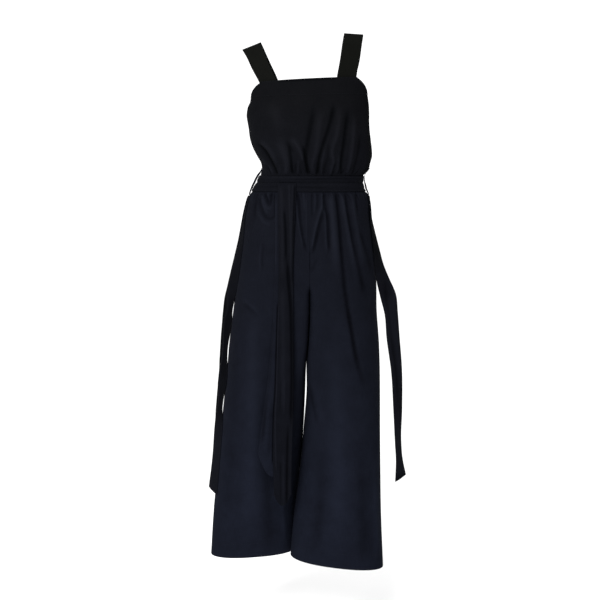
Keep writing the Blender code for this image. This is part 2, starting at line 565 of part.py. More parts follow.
def cloth_material(name, color, roughness):
    material = bpy.data.materials.new(name)
    material.use_nodes = True
    shader = material.node_tree.nodes["Principled BSDF"]
    shader.inputs["Base Color"].default_value = (*color, 1.0)
    shader.inputs["Roughness"].default_value = roughness
    shader.inputs["Metallic"].default_value = 0.0
    return material


def solid(name, outer, inner, material, closed=False):
    """A wall between two grids of points. A closed one runs all round, its last column next to its first."""
    rows, columns = outer.shape[:2]
    shape = bmesh.new()
    out, back = (
        [[shape.verts.new(point) for point in row] for row in skin] for skin in (outer, inner)
    )
    for column in range(columns if closed else columns - 1):
        after = (column + 1) % columns
        for row in range(rows - 1):
            above = row + 1
            shape.faces.new((out[row][column], out[row][after], out[above][after], out[above][column]))
            shape.faces.new((back[row][column], back[above][column], back[above][after], back[row][after]))
        shape.faces.new((out[0][column], back[0][column], back[0][after], out[0][after]))
        shape.faces.new((out[-1][column], out[-1][after], back[-1][after], back[-1][column]))
    for row in range(0 if closed else rows - 1):
        above = row + 1
        shape.faces.new((out[row][0], out[above][0], back[above][0], back[row][0]))
        shape.faces.new((out[row][-1], back[row][-1], back[above][-1], out[above][-1]))
    bmesh.ops.recalc_face_normals(shape, faces=shape.faces)
    mesh = bpy.data.meshes.new(name)
    shape.to_mesh(mesh)
    shape.free()
    mesh.materials.append(material)
    mesh.shade_smooth()
    mesh.set_sharp_from_angle(angle=SHARP_ANGLE)
    piece = bpy.data.objects.new(name, mesh)
    bpy.context.collection.objects.link(piece)
    return piece


def wall(name, surface, u, v, thickness, material, stand=0.0, closed=False):
    """A cloth wall whose outer face stands out from surface(u, v) by stand."""
    normals = outward(surface, u, v)
    outer = surface(u, v) + normals * np.asarray(stand)[..., None]
    return solid(name, outer, outer - normals * thickness, material, closed)


def through(rows, count):
    """Smoothly spaced points through rows of coordinates, evenly along their length."""
    rows = np.asarray(rows)
    steps = np.linalg.norm(np.diff(rows, axis=0), axis=1)
    length = np.concatenate([[0.0], np.cumsum(steps)])
    slopes = np.gradient(rows, length, axis=0)
    at = np.linspace(0.0, length[-1], count)
    i = np.clip(np.searchsorted(length, at, side="right") - 1, 0, len(length) - 2)
    span = (length[i + 1] - length[i])[:, None]
    t = (at - length[i])[:, None] / span
    return (
        (2 * t**3 - 3 * t**2 + 1) * rows[i]
        + (t**3 - 2 * t**2 + t) * span * slopes[i]
        + (3 * t**2 - 2 * t**3) * rows[i + 1]
        + (t**3 - t**2) * span * slopes[i + 1]
    )


def ribbon(name, edges, count, thickness, material, bow=0.0, tip=0.0, columns=RIBBON_COLUMNS):
    """A strip between two edges. Its outer face looks along (second edge - first) x (its run)."""
    stations = through(edges, count)
    first, second = stations[:, None, :3], stations[:, None, 3:]
    share = np.linspace(0.0, 1.0, columns)[None, :, None]
    grid = mix(first, second, share)
    arch = 4 * share * (1 - share)
    grid[-1, :, 2] -= tip * arch[0, :, 0]
    cross = np.cross(np.gradient(grid, axis=1), np.gradient(grid, axis=0))
    normals = cross / np.linalg.norm(cross, axis=-1, keepdims=True)
    grid = grid + normals * bow * arch
    return solid(name, grid, grid - normals * thickness, material)


# ---------------------------------------------------------------- the pieces


def columns_between(*stretches):
    """Values over several stretches, each (first, last, count), that share their ends."""
    parts = [np.linspace(first, last, count + 1)[:-1] for first, last, count in stretches]
    return np.concatenate(parts + [[stretches[-1][1]]])


def bodice_heights(edge, degrees):
    """The grid's heights under a top edge: level at the waist, following the edge above the bust."""
    top = np.interp(degrees, [point.degrees for point in edge], [point.z for point in edge])
    rows = np.array([WAIST_Z + SEAM_GAP / 2, *BODICE_HEIGHTS, BAND_BOTTOM_Z])[:, None]
    share = (rows - SHAPED_ABOVE_Z) / (BAND_BOTTOM_Z - SHAPED_ABOVE_Z)
    return np.where(share > 0, mix(SHAPED_ABOVE_Z, top[None, :], share), rows)


def make_bodice_front(material):
    right_corner, left_corner = BAND_ENDS[0].right_degrees, BAND_ENDS[0].left_degrees
    turn = np.degrees(SEAM_TURN)
    degrees = columns_between(
        (-90 + turn, right_corner, ARMHOLE_COLUMNS),
        (right_corner, left_corner, FRONT_COLUMNS - 2 * ARMHOLE_COLUMNS),
        (left_corner, 90 - turn, ARMHOLE_COLUMNS),
    )
    z = bodice_heights(FRONT_EDGE, degrees)
    angle = np.radians(degrees)[None, :] + 0.0 * z
    wall("bodice_front", bodice_surface(BODICE_FRONT_FOLDS, 0.0), angle, z, CLOTH, material)


def make_bodice_back(material):
    turn = np.degrees(SEAM_TURN)
    degrees = np.linspace(90 + turn, 270 - turn, BACK_COLUMNS + 1)
    z = bodice_heights(BACK_EDGE, degrees)
    angle = np.radians(degrees)[None, :] + 0.0 * z
    wall("bodice_back", bodice_surface(BODICE_BACK_FOLDS, np.pi), angle, z, CLOTH, material)


def make_front_band(material):
    """The faced band along the bib's top, between the armholes."""
    up, right, left = (column[:, None] for column in np.array(BAND_ENDS).T)
    degrees = mix(right, left, np.linspace(0.0, 1.0, BAND_COLUMNS + 1)[None, :])
    angle = np.radians(degrees)
    x = body_point(angle, mix(BAND_BOTTOM_Z, BAND_TOP_Z, up) + 0.0 * angle)[..., 0]
    foot = np.interp(degrees, [p.degrees for p in FRONT_EDGE], [p.z for p in FRONT_EDGE]) + SEAM_GAP
    head = BAND_TOP_Z + BAND_TOP_SLOPE * x
    wall("front_band", body_point, angle, mix(foot, head, up), DOUBLE_CLOTH, material, BAND_STAND)


def make_trouser_panel(name, side, facing, hem, columns, material):
    u = np.linspace(SEAM_SHARE, 1.0 - SEAM_SHARE, columns + 1)[None, :]
    surface = trouser_surface(side, facing)
    leg = RIGHT_LEG if side == RIGHT else LEFT_LEG
    bottom = hem.outer_z + 0.0 * u
    x = surface(u, bottom)[..., 0]
    outer, inner = smooth(leg, "outer_x", hem.outer_z), smooth(leg, "inner_x", hem.outer_z)
    bottom = mix(hem.outer_z, hem.inner_z, np.clip((x - outer) / (inner - outer), 0.0, 1.0))
    rows = np.array([WAIST_Z - SEAM_GAP / 2, *TROUSER_HEIGHTS, hem.outer_z])[::-1, None]
    share = (SHAPED_BELOW_Z - rows) / (SHAPED_BELOW_Z - hem.outer_z)
    z = np.where(share > 0, mix(SHAPED_BELOW_Z, bottom, share), rows)
    wall(name, surface, u + 0.0 * z, z, CLOTH, material)


def make_sash_turn(name, rings, material):
    angle = np.linspace(0.0, 2 * np.pi, TURN_COLUMNS, endpoint=False)[None, :]
    z = np.array([ring.z for ring in rings])[:, None]
    stand = np.array([ring.stand for ring in rings])[:, None] + 0.0 * angle
    wall(name, body_point, angle + 0.0 * z, z + 0.0 * angle, SASH_CLOTH, material, stand, closed=True)


def front_y(x, z):
    """How far forward the plain trousers reach at x and height z."""
    across = np.linspace(0.0, 1.0, PANEL_SAMPLES)
    right = trouser_point(RIGHT, FRONT, across, z)
    left = trouser_point(LEFT, FRONT, across[::-1], z)
    profile = np.concatenate([right, left])
    return np.interp(x, profile[:, 0], profile[:, 1])


def hanging_y(x, z):
    """How far forward a strip lies at x and height z: on the front, or straight down from its bulge."""
    return min(front_y(x, height) for height in np.linspace(WAIST_Z, z, HANG_SAMPLES))


def side_x(side, z, y):
    """How far out the plain trousers reach at depth y and height z."""
    across = np.linspace(0.0, SIDE_REACH, PANEL_SAMPLES)
    front = trouser_point(side, FRONT, across[::-1], z)
    back = trouser_point(side, BACK, across, z)
    profile = np.concatenate([front, back])
    return np.interp(y, profile[:, 1], profile[:, 0])


def make_sash_end(name, stations, count, material):
    """A free end of the sash, lying on the belly and then hanging straight down."""
    edges = []
    for row in stations:
        left = (row.left_x, hanging_y(row.left_x, row.left_z) - row.stand, row.left_z)
        right = (row.right_x, hanging_y(row.right_x, row.right_z) - row.stand, row.right_z)
        edges.append((*left, *right))
    ribbon(name, edges, count, SASH_CLOTH, material, bow=SASH_BOW, tip=SASH_TIP)


def side_strip(side, front_edge, back_edge):
    """Edges in the order that turns a strip at the wearer's side outwards."""
    return (*front_edge, *back_edge) if side == RIGHT else (*back_edge, *front_edge)


def make_belt_loop(name, side, stations, material):
    edges = []
    for row in stations:
        lean = row.back_stand - row.front_stand
        half_depth = np.sqrt(LOOP_WIDTH**2 - lean**2) / 2
        x = body_point(side * np.pi / 2, np.array(row.z))[0]
        near = (x + side * row.front_stand, -half_depth, row.z)
        far = (x + side * row.back_stand, half_depth, row.z)
        edges.append(side_strip(side, near, far))
    ribbon(name, edges, LOOP_ROWS, CLOTH, material, columns=LOOP_COLUMNS)


def make_tie(name, side, stations, material):
    edges = []
    for row in stations:
        lean = row.back_stand - row.front_stand
        half_depth = np.sqrt(TIE_WIDTH**2 - lean**2) / 2 * row.width_share
        slant = TIE_END_SLANT if row is stations[-1] else 0.0
        near_y, far_y = row.middle_y - half_depth, row.middle_y + half_depth
        near_x = side_x(side, row.z, near_y) + side * row.front_stand
        far_x = side_x(side, row.z, row.middle_y) + side * row.back_stand
        edges.append(side_strip(side, (near_x, near_y, row.z), (far_x, far_y, row.z + slant)))
    ribbon(name, edges, TIE_ROWS, SASH_CLOTH, material, bow=TIE_BOW)


def inside_bodice(x, z, facing, stand):
    """A point that lies inside the bodice's cloth, by its x and z."""
    span = np.linspace(-np.pi / 2, np.pi / 2, HALF_TURN_SAMPLES) + (0.0 if facing == FRONT else np.pi)
    points = body_point(span, np.full(span.shape, z))
    order = np.argsort(points[:, 0])
    angle = np.array([np.interp(x, points[order, 0], span[order])])
    height = np.array([z])
    return (body_point(angle, height) + outward(body_point, angle, height) * stand)[0]


def make_strap(name, sewn_front, stations, sewn_back, material):
    """A shoulder strap, sewn behind the band in front and inside the bodice's back."""
    behind_band = -(DOUBLE_CLOTH + STRAP_ROOM)
    behind_back = -(CLOTH + STRAP_ROOM)
    edges = []
    for row in sewn_front:
        right = inside_bodice(row.right_x, row.right_z, FRONT, behind_band)
        left = inside_bodice(row.left_x, row.left_z, FRONT, behind_band)
        edges.append((*right, *left))
    edges.extend(tuple(row) for row in stations)
    for row in sewn_back:
        right = inside_bodice(row.right_x, row.right_z, BACK, behind_back)
        left = inside_bodice(row.left_x, row.left_z, BACK, behind_back)
        edges.append((*right, *left))
    ribbon(name, edges, STRAP_ROWS, DOUBLE_CLOTH, material)


def main():
    for old in list(bpy.data.objects):
        bpy.data.objects.remove(old)
    bodice_cloth = cloth_material("bodice_cloth", (0.0075, 0.0080, 0.0125), 0.82)
    leg_cloth = cloth_material("leg_cloth", (0.0080, 0.0090, 0.0165), 0.82)
    sash_cloth = cloth_material("sash_cloth", (0.0070, 0.0075, 0.0120), 0.80)
    strap_cloth = cloth_material("strap_cloth", (0.0060, 0.0070, 0.0090), 0.80)

    make_bodice_front(bodice_cloth)
    make_bodice_back(bodice_cloth)
    make_front_band(bodice_cloth)
    make_strap("strap_right", RIGHT_STRAP_FRONT, RIGHT_STRAP, RIGHT_STRAP_BACK, strap_cloth)
    make_strap("strap_left", LEFT_STRAP_FRONT, LEFT_STRAP, LEFT_STRAP_BACK, strap_cloth)

    for end, side, hem, loop in (
        ("right", RIGHT, RIGHT_HEM, RIGHT_LOOP), ("left", LEFT, LEFT_HEM, LEFT_LOOP)
    ):
        front, back = f"trouser_front_{end}", f"trouser_back_{end}"
        make_trouser_panel(front, side, FRONT, hem, TROUSER_FRONT_COLUMNS, leg_cloth)
        make_trouser_panel(back, side, BACK, hem, TROUSER_BACK_COLUMNS, leg_cloth)
        make_belt_loop(f"belt_loop_{end}", side, loop, leg_cloth)
    make_tie("tie_right", RIGHT, RIGHT_TIE, sash_cloth)
    make_tie("tie_left", LEFT, LEFT_TIE, sash_cloth)

    make_sash_turn("belt_wrap_upper", UPPER_TURN, sash_cloth)
    make_sash_turn("belt_wrap_lower", LOWER_TURN, sash_cloth)
    make_sash_end("belt_fall_long", LONG_END, LONG_END_ROWS, sash_cloth)
    make_sash_end("belt_fall_short", SHORT_END, SHORT_END_ROWS, sash_cloth)


main()
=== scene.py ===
import bpy
import numpy as np
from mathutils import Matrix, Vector


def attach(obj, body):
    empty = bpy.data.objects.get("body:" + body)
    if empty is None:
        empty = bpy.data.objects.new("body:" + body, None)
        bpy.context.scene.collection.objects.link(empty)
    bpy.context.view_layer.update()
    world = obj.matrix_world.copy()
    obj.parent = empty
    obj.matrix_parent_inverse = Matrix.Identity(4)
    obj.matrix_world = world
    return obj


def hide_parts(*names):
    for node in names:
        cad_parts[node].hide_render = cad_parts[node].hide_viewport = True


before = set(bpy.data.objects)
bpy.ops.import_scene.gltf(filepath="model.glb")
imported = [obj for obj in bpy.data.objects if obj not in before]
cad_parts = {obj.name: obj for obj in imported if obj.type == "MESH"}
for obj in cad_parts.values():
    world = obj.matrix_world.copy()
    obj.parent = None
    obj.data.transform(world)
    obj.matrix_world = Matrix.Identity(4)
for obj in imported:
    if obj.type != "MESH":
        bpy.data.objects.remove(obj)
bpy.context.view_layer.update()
print("frame loaded:", len(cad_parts), "nodes")

garment = {
    "waistZ": -0.368,  # the seam between bodice and trousers, under the sash
    "seamGap": 0.0003,
    "squareness": 2.25,  # 2 is an ellipse, more has squarer corners
    "wall": 0.0012,  # one layer of cloth
    "doubleWall": 0.0020,
    "sashWall": 0.0015,
    "turnRadius": 0.0013,  # of the cloth's edge, where it turns in to a seam
    "seamAllowance": 0.0045,
    "creaseScale": 0.0050,  # a fold this high gets the full painted highlight, and one this deep the full painted shade
}
front, back = 1, -1
right, left = -1, 1
facingNames = {front: "front", back: "back"}
sideNames = {right: "right", left: "left"}


# Tables are in millimetres, but for plain columns, which are degrees, shares or powers.
def table(columns, rows, plain=""):
    named = dict(zip(columns.split(), np.array(rows, float).T))
    return {name: column / (1 if name in plain.split() else 1000) for name, column in named.items()}


def stationsOf(named):
    return zip(*named.values())


bodyRows = table("z rightX centreX leftX frontY backY", (
    (-85, -138.5, 12, 171.5, -79, 88),
    (-101, -140, 12.3, 172.5, -85, 90),
    (-131, -142, 12.8, 173.2, -95.5, 95),
    (-162, -143.2, 13.2, 171.7, -105.5, 98.5),
    (-190, -145.5, 13.6, 170.2, -113.5, 100.5),
    (-223, -140.5, 14, 171, -119, 100.5),
    (-254, -136, 14.3, 174.5, -121.5, 99.5),
    (-279, -127, 14.5, 177.5, -121, 97.5),
    (-295, -118.5, 14.6, 178, -119, 95.5),
    (-313, -108.5, 14.7, 173.5, -114, 92),
    (-330, -106.4, 14.8, 168.5, -104.5, 87),
    (-344, -109.8, 14.9, 156.2, -93.5, 81.8),
    (-356, -113.8, 15, 152.4, -88, 79.5),
    (-368, -119.5, 15, 153.2, -87.5, 80),
    (-380, -127.4, 15.1, 156, -91.5, 84),
    (-392, -135, 15.2, 166, -98.5, 92),
    (-408, -140.8, 15.3, 171.2, -104.5, 100),
    (-439, -149, 15.6, 173.2, -110, 110.5),
    (-499, -156.5, 16.2, 181.2, -114.5, 123),
    (-562, -164.4, 16.5, 187.2, -116, 129),
))

# Below the hips each leg has its own sections. The inner side is squarer where the legs meet, and
# rounder where one passes behind the other.
squarenesses = "innerFrontSquareness innerBackSquareness"
rightLeg = table("z outerX innerX frontY backY " + squarenesses, (
    (-620, -172.6, 16.6, -115.5, 128.5, 10.0, 8.0),
    (-690, -181.8, 16.5, -113.5, 125, 10.0, 8.0),
    (-780, -193.5, 12.7, -107, 120, 10.0, 7.0),
    (-833, -198.5, 8.1, -102, 117.5, 8.0, 4.4),
    (-907, -206.2, 5.6, -94, 114.5, 5.4, 3.4),
    (-990, -214.9, 2, -85.2, 112, 4.0, 2.7),
    (-1110, -226.5, -6, -71.5, 109.5, 3.0, 2.2),
    (-1218, -238, -12.5, -58, 108, 2.7, 2.05),
    (-1370, -249, -20.5, -42, 108, 2.6, 2.0),
), squarenesses)
leftLeg = table("z outerX innerX frontY backY " + squarenesses, (
    (-620, 191.2, 16.9, -115.8, 127.5, 10.0, 8.0),
    (-690, 192.5, 17.1, -114.5, 122.5, 10.0, 8.0),
    (-780, 198.8, 13.3, -114.5, 109, 10.0, 7.0),
    (-833, 200.8, 9.2, -115, 101.5, 8.0, 4.4),
    (-907, 201.8, 9.2, -116, 90, 5.0, 3.4),
    (-990, 202, 2.5, -117.2, 77.6, 3.6, 2.3),
    (-1110, 203.2, -8.4, -119, 60, 2.6, 1.8),
    (-1218, 205, -22.5, -120.5, 45.5, 2.4, 1.7),
    (-1370, 211.2, -36, -122.5, 32, 2.3, 1.7),
), squarenesses)


def sideRows(side):
    legs = rightLeg if side == right else leftLeg
    hips = {name: np.full(len(bodyRows["z"]), column[0]) for name, column in legs.items()}
    hips |= {name: bodyRows[name] for name in ("z", "frontY", "backY")}
    hips |= {"outerX": bodyRows[sideNames[side] + "X"], "innerX": bodyRows["centreX"]}
    return {name: np.concatenate([hips[name], legs[name]]) for name in legs}


trouserRows = {side: sideRows(side) for side in sideNames}

# Folds, in millimetres too. Each rises or falls by its height, is as wide as its two widths at its
# top and foot, grows and fades over two lengths there, and runs through its points, which are x and
# z. A ridge has a positive height and a trough a negative one.
foldColumns = "height widthTop widthFoot fadeTop fadeFoot".split()
foldSteps = 4  # of its smooth line, for each of its points
foldReach = 3  # widths from its line, past which a fold is flat


def foldsOf(*rows):
    folds = []
    for row in rows:
        fold = {name: value / 1000 for name, value in zip(foldColumns, row)}
        fold["x"], fold["z"] = np.array(row[len(foldColumns):]).T / 1000
        folds.append(fold)
    return folds


bodiceFrontFolds = foldsOf(
    (3.2, 6.6, 3.0, 20, 20, (-112, -256), (-99, -266), (-82, -284), (-71, -304), (-64, -324)),
    (-4.6, 3.6, 2.7, 22, 4, (-121, -262), (-101, -278), (-83, -306), (-68, -338), (-64, -352)),
    (3.1, 3.4, 2.6, 12, 4, (-104, -297), (-92, -317), (-82, -328), (-73, -352)),
    (-3.0, 3.2, 2.4, 14, 4, (-96, -312), (-88, -326), (-79, -343), (-77, -352)),
    (3.4, 13, 5.5, 40, 4, (-64, -240), (-50, -284), (-42, -310), (-44, -352)),
    (1.8, 3.3, 2.3, 14, 4, (-62, -312), (-58, -330), (-56, -352)),
    (-3.8, 4.2, 2.7, 30, 4, (-36, -262), (-31, -305), (-28, -332), (-24, -352)),
    (3.5, 7.3, 3.3, 22, 10, (-36, -248), (-19, -264), (-7, -285), (1, -312)),
    (-2, 4.8, 4, 16, 16, (-46, -254), (-30, -279), (-17, -294)),
    (2.7, 3.1, 2.7, 16, 4, (-11, -300), (-12, -326), (-14, -352)),
    (-1.6, 2.4, 2.2, 12, 4, (-20, -312), (-19, -330), (-19, -352)),
    (-3.2, 3.0, 2.5, 22, 4, (-3, -262), (6, -301), (9, -323), (13, -352)),
    (-3.0, 7.6, 4.0, 50, 4, (30, -160), (24, -196), (13, -255), (6, -296), (16, -352)),
    (2.7, 10.1, 4.6, 50, 4, (49, -170), (42, -212), (31, -289), (24, -316), (27, -352)),
    (-3.7, 6.0, 3.3, 30, 4, (80, -160), (67, -219), (51, -266), (39, -312), (35, -352)),
    (3.2, 8.5, 3.9, 40, 4, (94, -166), (84, -247), (72, -289), (76, -306), (63, -352)),
    (2.1, 4.8, 2.5, 20, 4, (55, -272), (48, -310), (44, -352)),
    (-1.6, 4.8, 2.9, 24, 4, (64, -258), (63, -300), (56, -322), (50, -352)),
    (-2.4, 2.7, 2.2, 12, 4, (82, -310), (77, -326), (70, -352)),
    (-3.6, 6.4, 3.7, 40, 4, (114, -172), (107, -234), (101, -278), (96, -310), (96, -352)),
    (3.2, 7.3, 3.9, 50, 4, (130, -180), (125, -260), (119, -306), (108, -352)),
    (1.8, 4, 2.5, 16, 4, (91, -290), (88, -320), (84, -352)),
    (-2.2, 5.6, 2.9, 40, 4, (146, -230), (139, -290), (121, -352)),
    (2.1, 16, 12, 50, 60, (-82, -150), (-66, -200), (-56, -262)),
)
bodiceBackFolds = foldsOf(
    (-3.1, 8, 3.4, 60, 4, (-104, -250), (-86, -298), (-78, -352)),
    (3.2, 13, 5, 90, 4, (-74, -200), (-63, -275), (-56, -352)),
    (-3.2, 8, 3.2, 70, 4, (-50, -228), (-41, -290), (-38, -352)),
    (3.4, 12, 4.6, 90, 4, (-23, -190), (-17, -267), (-16, -352)),
    (-3, 7.2, 3.2, 70, 4, (6, -222), (3, -290), (6, -352)),
    (3.4, 12, 4.8, 90, 4, (38, -205), (31, -275), (28, -352)),
    (-3.2, 8, 3.4, 70, 4, (64, -238), (56, -290), (51, -352)),
    (2.6, 10.1, 4.6, 80, 4, (92, -215), (80, -280), (74, -352)),
    (-3.1, 7.2, 3.4, 60, 4, (126, -245), (107, -295), (99, -352)),
    (-1.7, 3.2, 2.4, 24, 4, (-92, -300), (-76, -326), (-68, -352)),
    (2.1, 3.3, 2.5, 26, 4, (-58, -296), (-50, -325), (-47, -352)),
    (-1.9, 3.2, 2.4, 34, 4, (-28, -284), (-25, -318), (-27, -352)),
    (2, 3.3, 2.5, 20, 4, (-6, -306), (-5, -352)),
    (-1.7, 3.2, 2.4, 34, 4, (22, -276), (17, -315), (18, -352)),
    (2, 3.3, 2.3, 20, 4, (46, -304), (40, -352)),
    (-1.9, 3.2, 2.4, 26, 4, (81, -290), (70, -318), (64, -352)),
    (2.1, 3.3, 2.5, 24, 4, (104, -300), (88, -352)),
)
trouserFrontFolds = foldsOf(
    # the notch under the sash, and the swag that hangs below it
    (-3.2, 4.4, 3.2, 5, 16, (-100, -380), (-93, -400), (-86, -424)),
    (-2.9, 3.6, 2.8, 5, 16, (-78, -380), (-81, -402), (-85, -424)),
    (2.5, 3.3, 2.5, 8, 12, (-104, -392), (-97, -412), (-84, -431)),
    (2.1, 3.3, 2.5, 5, 20, (-88, -380), (-88, -398), (-86, -412)),
    (2.1, 2.9, 2.5, 8, 8, (-98, -417), (-92, -427), (-84, -428), (-79, -420)),
    (-2, 4, 3.2, 10, 14, (-112, -398), (-107, -424), (-95, -449), (-80, -454), (-71, -440)),
    (2.5, 4, 3.3, 12, 14, (-104, -398), (-100, -420), (-91, -436), (-80, -439)),
    (2, 4.8, 4, 16, 16, (-118, -426), (-108, -450), (-92, -466), (-76, -466)),
    (-1.9, 4.8, 4, 5, 60, (-116, -380), (-124, -436), (-127, -480)),
    (-1.5, 2.4, 2.4, 5, 20, (-71.5, -380), (-71.5, -430), (-71.5, -455)),
    (-1.2, 3.6, 3.2, 14, 20, (-102, -514), (-104, -576), (-104, -590)),
    (1.6, 3.3, 2.8, 14, 20, (-106, -514), (-110, -557), (-108, -592)),
    (-1.4, 4.8, 4, 14, 16, (-154, -668), (-134, -684), (-112, -706)),
    (1.4, 4.8, 4, 14, 16, (-158, -656), (-136, -671), (-110, -690)),
    # the fly and the short folds beside it
    (-2.9, 3.6, 2.7, 6, 24, (-15, -380), (-12, -400), (-7, -455), (-1, -498), (9, -540)),
    (2.2, 3.3, 2.7, 10, 30, (-20, -394), (-13, -455), (-7, -490), (2, -530)),
    (2.5, 2.9, 2.5, 5, 20, (2, -380), (3, -423), (4, -440)),
    (2.1, 2.9, 2.6, 12, 34, (9, -396), (9, -500), (9, -520)),
    (-1.9, 2.6, 2.7, 8, 60, (15, -390), (16, -440), (16, -530)),
    (-2.1, 2.6, 2.4, 6, 16, (22, -380), (22, -432), (23, -452)),
    (1.8, 3.3, 2.9, 5, 20, (30, -380), (30, -415), (27, -445)),
    (-1.5, 2.6, 2.4, 5, 20, (38, -380), (37, -415), (36, -440)),
    (3.4, 5.3, 3.7, 24, 16, (49, -412), (43, -435), (31, -478), (20, -532)),
    (-2.9, 5.2, 4, 30, 20, (53, -424), (44, -458), (34, -500), (24, -545)),
    # pleats towards the wearer's left hip
    (2.6, 3.5, 2.9, 5, 20, (47, -380), (47, -420), (46, -438)),
    (-2.9, 3.5, 4.8, 6, 40, (52, -380), (54, -412), (62, -450), (65, -513), (66, -548)),
    (2.1, 2.9, 3.4, 14, 26, (55, -428), (57, -490), (61, -546)),
    (4.5, 7, 10.6, 40, 120, (68, -380), (74, -440), (80, -520), (86, -610)),
    (-4.0, 3.8, 6.5, 6, 130, (82, -380), (88, -428), (96, -520), (108, -649), (123, -735),
     (137, -813), (166, -905)),
    (3.4, 4.8, 8.9, 30, 120, (96, -384), (106, -445), (119, -512), (134, -575), (150, -640)),
    (-3.3, 3.7, 7.2, 6, 60, (106, -380), (113, -434), (130, -530), (151, -616), (164, -668)),
    (2.6, 4.8, 7.3, 30, 60, (122, -386), (133, -460), (146, -530), (160, -590)),
    (-2.4, 3.5, 3.5, 6, 40, (133, -380), (138, -424), (143, -460)),
    (-2.1, 4.8, 5.6, 24, 30, (142, -478), (151, -503), (172, -573), (178, -600)),
    (-1.1, 4.8, 4, 12, 16, (38, -550), (23, -580), (16, -590)),
    # long soft folds of the legs
    (1.6, 14, 24, 300, 200, (-128, -560), (-130, -930), (-142, -1345)),
    (-0.8, 14, 17, 330, 200, (-166, -640), (-182, -930), (-199, -1290)),
    (-1.6, 10, 17, 340, 60, (-101, -800), (-96, -1080), (-84, -1350)),
    (1.3, 6.5, 6.5, 60, 80, (-62, -1130), (-50, -1260), (-46, -1340)),
    (-1.5, 4.2, 4.2, 36, 40, (14, -868), (26, -936), (40, -990)),
    (0.7, 6.5, 5.6, 36, 40, (26, -862), (42, -930), (58, -985)),
    (1.6, 18, 24, 380, 160, (75, -640), (90, -990), (90, -1345)),
    (-1.4, 12, 16, 216, 100, (56, -980), (44, -1150), (33, -1345)),
    (-1.4, 12, 17, 234, 60, (146, -960), (154, -1160), (160, -1355)),
    (1.4, 7.3, 8.1, 120, 60, (186, -1040), (188, -1200), (192, -1340)),
)
trouserBackFolds = foldsOf(
    (-3, 4, 7.2, 6, 70, (-96, -380), (-104, -425), (-115, -475)),
    (4.4, 5.3, 10.6, 20, 120, (-75, -380), (-82, -460), (-92, -545)),
    (-3.1, 4, 7.2, 6, 80, (-51, -380), (-54, -430), (-59, -486)),
    (3.2, 4, 8.1, 20, 100, (-28, -380), (-31, -450), (-35, -515)),
    (-2.4, 3.5, 4.8, 6, 50, (-6, -380), (-7, -452)),
    (2.2, 3.3, 3.3, 6, 40, (12, -380), (13, -436)),
    (-2.8, 3.7, 6.4, 6, 70, (35, -380), (41, -474)),
    (3.4, 4.5, 8.9, 20, 115, (57, -380), (62, -460), (68, -536)),
    (-3.1, 4, 7.2, 6, 88, (81, -380), (88, -430), (98, -496)),
    (4.4, 5.3, 10.6, 20, 130, (106, -380), (117, -470), (128, -556)),
    (-2.6, 3.7, 6.4, 6, 64, (130, -380), (148, -466)),
    (-1.6, 2.7, 3.2, 6, 30, (-110, -380), (-118, -424)),
    (-1.7, 2.7, 3.2, 6, 34, (-38, -380), (-41, -430)),
    (2.1, 2.7, 3.3, 6, 34, (46, -380), (49, -428)),
    (-1.6, 2.7, 3.2, 6, 30, (95, -380), (102, -426)),
    (-4, 13, 12, 80, 70, (-150, -600), (-105, -672), (-40, -740)),
    (-4, 13, 12, 80, 70, (168, -600), (127, -672), (66, -740)),
    (2.4, 12, 10, 60, 60, (-140, -640), (-92, -704), (-44, -760)),
    (2.4, 12, 10, 60, 60, (158, -636), (112, -704), (68, -762)),
    (1.8, 18, 25, 400, 160, (-90, -660), (-98, -992), (-118, -1350)),
    (-1.6, 14, 17, 350, 100, (-160, -760), (-172, -1050), (-186, -1350)),
    (-1.6, 12, 17, 286, 100, (-50, -900), (-54, -1120), (-60, -1345)),
    (1.8, 18, 25, 400, 160, (105, -660), (106, -992), (95, -1350)),
    (-1.6, 14, 17, 342, 100, (166, -780), (168, -1060), (163, -1355)),
    (-1.6, 12, 17, 286, 100, (58, -900), (48, -1120), (32, -1345)),
)
pressed = {"fromZ": -0.3445, "toZ": -0.3865, "share": 0.12, "fade": 0.007}  # under the sash
sidewaysFade = 0.35  # folds fade where the cloth turns away from the front or the back

# Fine gathers into the waist, all round it: ridges and troughs by turns, none like the next.
gathers = {
    "girthRadius": 0.130,
    "spacing": 0.0064,
    "wander": 0.0021,
    "width": 0.0019,
    "height": 0.0023,
    "reach": 0.016,  # how far they run from the sash
    "reachMore": 0.034,
    "lean": 0.16,  # how far they lean, as a share of their way
    "evenShare": 0.55,  # of the height
    "unevenShare": 0.45,
    # from one to the next each measure swings by the sine of a turn, which begins a little way on
    "swings": {"wander": (2.4, 0.7), "lean": (4.3, 0.0), "height": (1.7, 2.0), "reach": (3.1, 0.0)},
}


def smooth(rows, column, z):
    heights, values = rows["z"][::-1], rows[column][::-1]
    slopes = np.gradient(values, heights)
    z = np.clip(z, heights[0], heights[-1])
    i = np.clip(np.searchsorted(heights, z) - 1, 0, len(heights) - 2)
    span = heights[i + 1] - heights[i]
    t = (z - heights[i]) / span
    return hermite(t, span, values[i], values[i + 1], slopes[i], slopes[i + 1])


def hermite(t, span, first, last, slopeFirst, slopeLast):
    return (
        (2 * t**3 - 3 * t**2 + 1) * first
        + (t**3 - 2 * t**2 + t) * span * slopeFirst
        + (3 * t**2 - 2 * t**3) * last
        + (t**3 - t**2) * span * slopeLast
    )


def ease(t):
    t = np.clip(t, 0.0, 1.0)
    return t * t * (3.0 - 2.0 * t)


def mix(a, b, t):
    return a + (b - a) * t


def unit(vectors):
    return vectors / np.maximum(np.linalg.norm(vectors, axis=-1, keepdims=True), 1e-12)


def stretch(angle, squareness):
    powers = abs(np.cos(angle)) ** squareness + abs(np.sin(angle)) ** squareness
    return powers ** (-1.0 / squareness)


